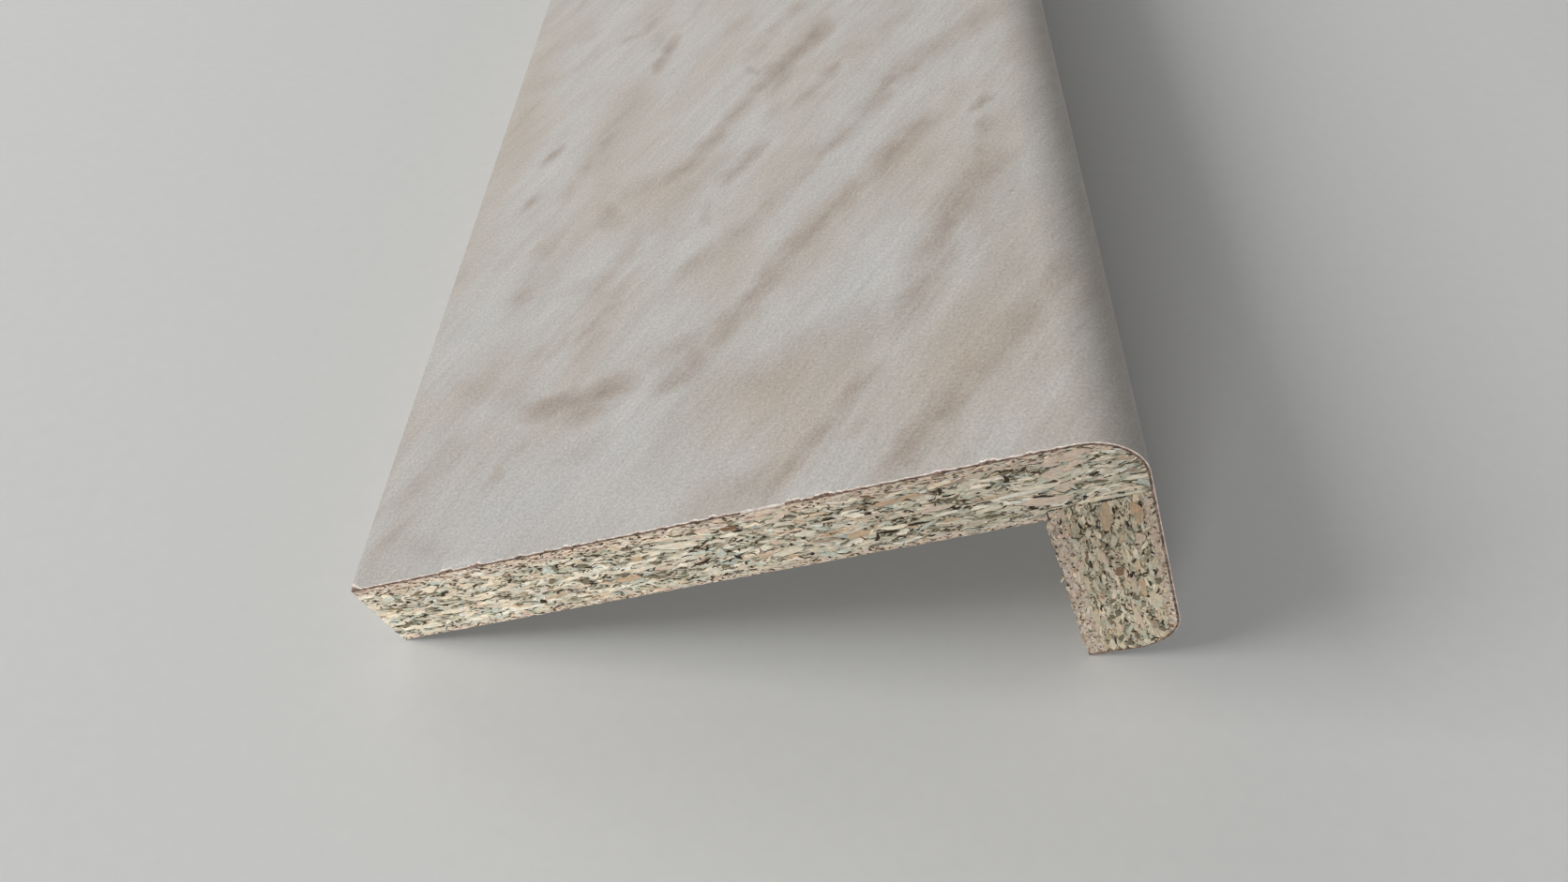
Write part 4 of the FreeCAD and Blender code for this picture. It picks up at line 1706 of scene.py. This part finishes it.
    def finish(
        self, sheet: bpy.types.Object, band: np.ndarray, materials: Sequence[bpy.types.Material]
    ) -> None:
        """Gives the faces their materials and the sheet its unrolled places, and lays it at rest.

        Args:
            sheet: The modelled sheet.
            band: The layer that each of its points lies on.
            materials: The decor, the broken decor layer and the brown layers.
        """
        mesh = sheet.data
        places = np.array([vertex.co for vertex in mesh.vertices])
        s, t = self.unrolled(places[:, 0], places[:, 2])
        near_end = places[:, 1] + self.section.half_length
        write_attribute(mesh, "sheet_place", "FLOAT_VECTOR", np.stack([s, near_end, t], axis=1))
        for material in materials:
            mesh.materials.append(material)
        deep = self.section.half_length - 0.9 * self.end_zone
        for face in mesh.polygons:
            layers, first = band[list(face.vertices)], face.vertices[0]
            in_end = all(abs(places[v, 1]) > deep for v in face.vertices)
            smeared = places[first, 1] < 0 and self.smudge[0] < s[first] < self.smudge[1]
            if layers.max() == 0:
                face.material_index = 0
            elif in_end and (layers.max() == 1 or smeared) and len(layers) == 4:
                face.material_index = 1
            else:
                face.material_index = 2
        self.section.lay(sheet)
        select_only(sheet)
        bpy.ops.object.shade_smooth_by_angle(angle=self.smooth_below)
        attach(sheet, BODY)
        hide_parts("laminate_facing")


@dataclass(frozen=True)
class Lamp:
    """A soft square lamp: where it hangs and how long its sides are, in metres, and its power in watts."""

    name: str
    place: tuple[float, float, float]
    size: float
    power: float

    def hang(self, aim: Vector) -> None:
        """Hangs the lamp so that it faces a point.

        Args:
            aim: The point.
        """
        data = bpy.data.lights.new(self.name, "AREA")
        data.energy = self.power
        data.size = self.size
        lamp = bpy.data.objects.new(self.name, data)
        bpy.context.scene.collection.objects.link(lamp)
        lamp.location = self.place
        lamp.rotation_euler = (aim - Vector(self.place)).to_track_quat("-Z", "Y").to_euler()


@dataclass
class Studio:
    """The pale floor, the soft lamps and the camera at the photo's viewing angle."""

    floor_colour: Colour = srgb(226, 226, 224)
    floor_glow: Colour = srgb(150, 150, 149)
    backdrop: Colour = srgb(214, 214, 212)
    ambient: float = 0.13
    floor_size: float = 14.0
    floor_level: float = -0.0002
    floor_fade: tuple[float, float] = (0.7, 1.8)
    lamps: tuple[Lamp, ...] = (
        Lamp("key", (-3.0, -0.75, 2.1), 1.8, 81.0),
        Lamp("front", (-0.8, -4.3, 1.05), 1.9, 104.0),
        Lamp("back", (-2.6, 3.2, 2.4), 2.6, 40.0),
        Lamp("fill", (4.4, 1.4, 0.95), 1.8, 17.0),
    )
    aim: tuple[float, float, float] = (0.0, -0.35, 0.0)
    lens: float = 26.47
    sensor: float = 36.0
    eye: tuple[float, float, float] = (0.0100, -0.6240, 0.2029)
    forward: tuple[float, float, float] = (-0.0301, 0.6638, -0.7473)
    upward: tuple[float, float, float] = (-0.0175, 0.7472, 0.6644)

    def build(self) -> None:
        """Builds the floor, the lamps, the world and the camera."""
        self.floor()
        for lamp in self.lamps:
            lamp.hang(Vector(self.aim))
        self.world()
        self.camera()

    def floor(self) -> None:
        """Lays the pale floor under the board."""
        deselect_all()
        bpy.ops.mesh.primitive_plane_add(size=self.floor_size, location=(0, 0, self.floor_level))
        floor = bpy.context.object
        floor.name = "studio_floor"
        material, graph, shader = new_material("pale_floor", Roughness=0.85, Specular_IOR_Level=0.2)
        nodes = material.node_tree.nodes
        place, seen = graph.on_object(), self.seen(graph)
        grain = graph.spread(graph.noise(place, 260.0, 3.0, 0.6), 0.97, 1.03)
        colour = graph.mix(seen, self.floor_glow, self.floor_colour)
        graph.feed(shader["Base Color"], graph.toned(colour, grain))
        away = graph.smooth(graph.vector("LENGTH", place).outputs["Value"], *self.floor_fade)
        plain = graph.node("ShaderNodeEmission", {"Color": self.backdrop}).outputs[0]
        blend = {0: graph.times(away, seen), 1: nodes["Principled BSDF"].outputs[0], 2: plain}
        surface = graph.node("ShaderNodeMixShader", blend).outputs[0]
        graph.feed(nodes["Material Output"].inputs["Surface"], surface)
        floor.data.materials.append(material)

    def seen(self, graph: Graph) -> Socket:
        """Tells the rays that show the room from the rays of its light.

        Args:
            graph: The graph that needs it.

        Returns:
            1 for rays straight to the camera or in a shiny or clear surface, and 0 for the others.
        """
        path = graph.node("ShaderNodeLightPath").outputs
        straight = graph.most(path["Is Camera Ray"], path["Is Glossy Ray"])
        return graph.most(straight, path["Is Transmission Ray"])

    def world(self) -> None:
        """Fills the room with an even light, and shows the floor's pale backdrop past its edge."""
        world = bpy.data.worlds.new("studio")
        bpy.context.scene.world = world
        world.use_nodes = True
        graph = Graph(world.node_tree)
        background = world.node_tree.nodes["Background"].inputs
        seen = self.seen(graph)
        graph.feed(background["Color"], graph.mix(seen, (1.0, 1.0, 1.0), self.backdrop))
        graph.feed(background["Strength"], graph.spread(seen, self.ambient, 1.0))

    def camera(self) -> None:
        """Puts the camera where the photo was taken from."""
        data = bpy.data.cameras.new("view")
        data.lens = self.lens
        data.sensor_width = self.sensor
        data.clip_start = 0.01
        camera = bpy.data.objects.new("view", data)
        bpy.context.scene.collection.objects.link(camera)
        back = -Vector(self.forward).normalized()
        right = Vector(self.upward).cross(back).normalized()
        turn = Matrix((right, back.cross(right), back)).transposed().to_4x4()
        camera.matrix_world = Matrix.Translation(self.eye) @ turn
        bpy.context.scene.camera = camera


def main() -> None:
    """Builds every piece of the sill board in order, and then the studio."""
    logging.basicConfig(level=logging.INFO, format="%(name)s: %(message)s")
    bpy.context.scene.view_settings.view_transform = "Standard"
    section = Section.measured()
    log.info("section: %.1f mm deep, laminate %.2f mm", section.depth, section.laminate)
    pieces = Chipboard(section).build()
    broken = SheetEdge("broken_decor", srgb(232, 226, 218), srgb(196, 180, 166)).material()
    paper = SheetEdge("brown_paper", srgb(148, 121, 105), srgb(70, 53, 44)).material()
    pieces.append(LaminateSheet(section).build((MarbleLaminate().material(), broken, paper)))
    for piece in pieces:
        log.info("%s: %d faces", piece.name, len(piece.data.polygons))
    Studio().build()


if __name__ == "__main__":
    main()
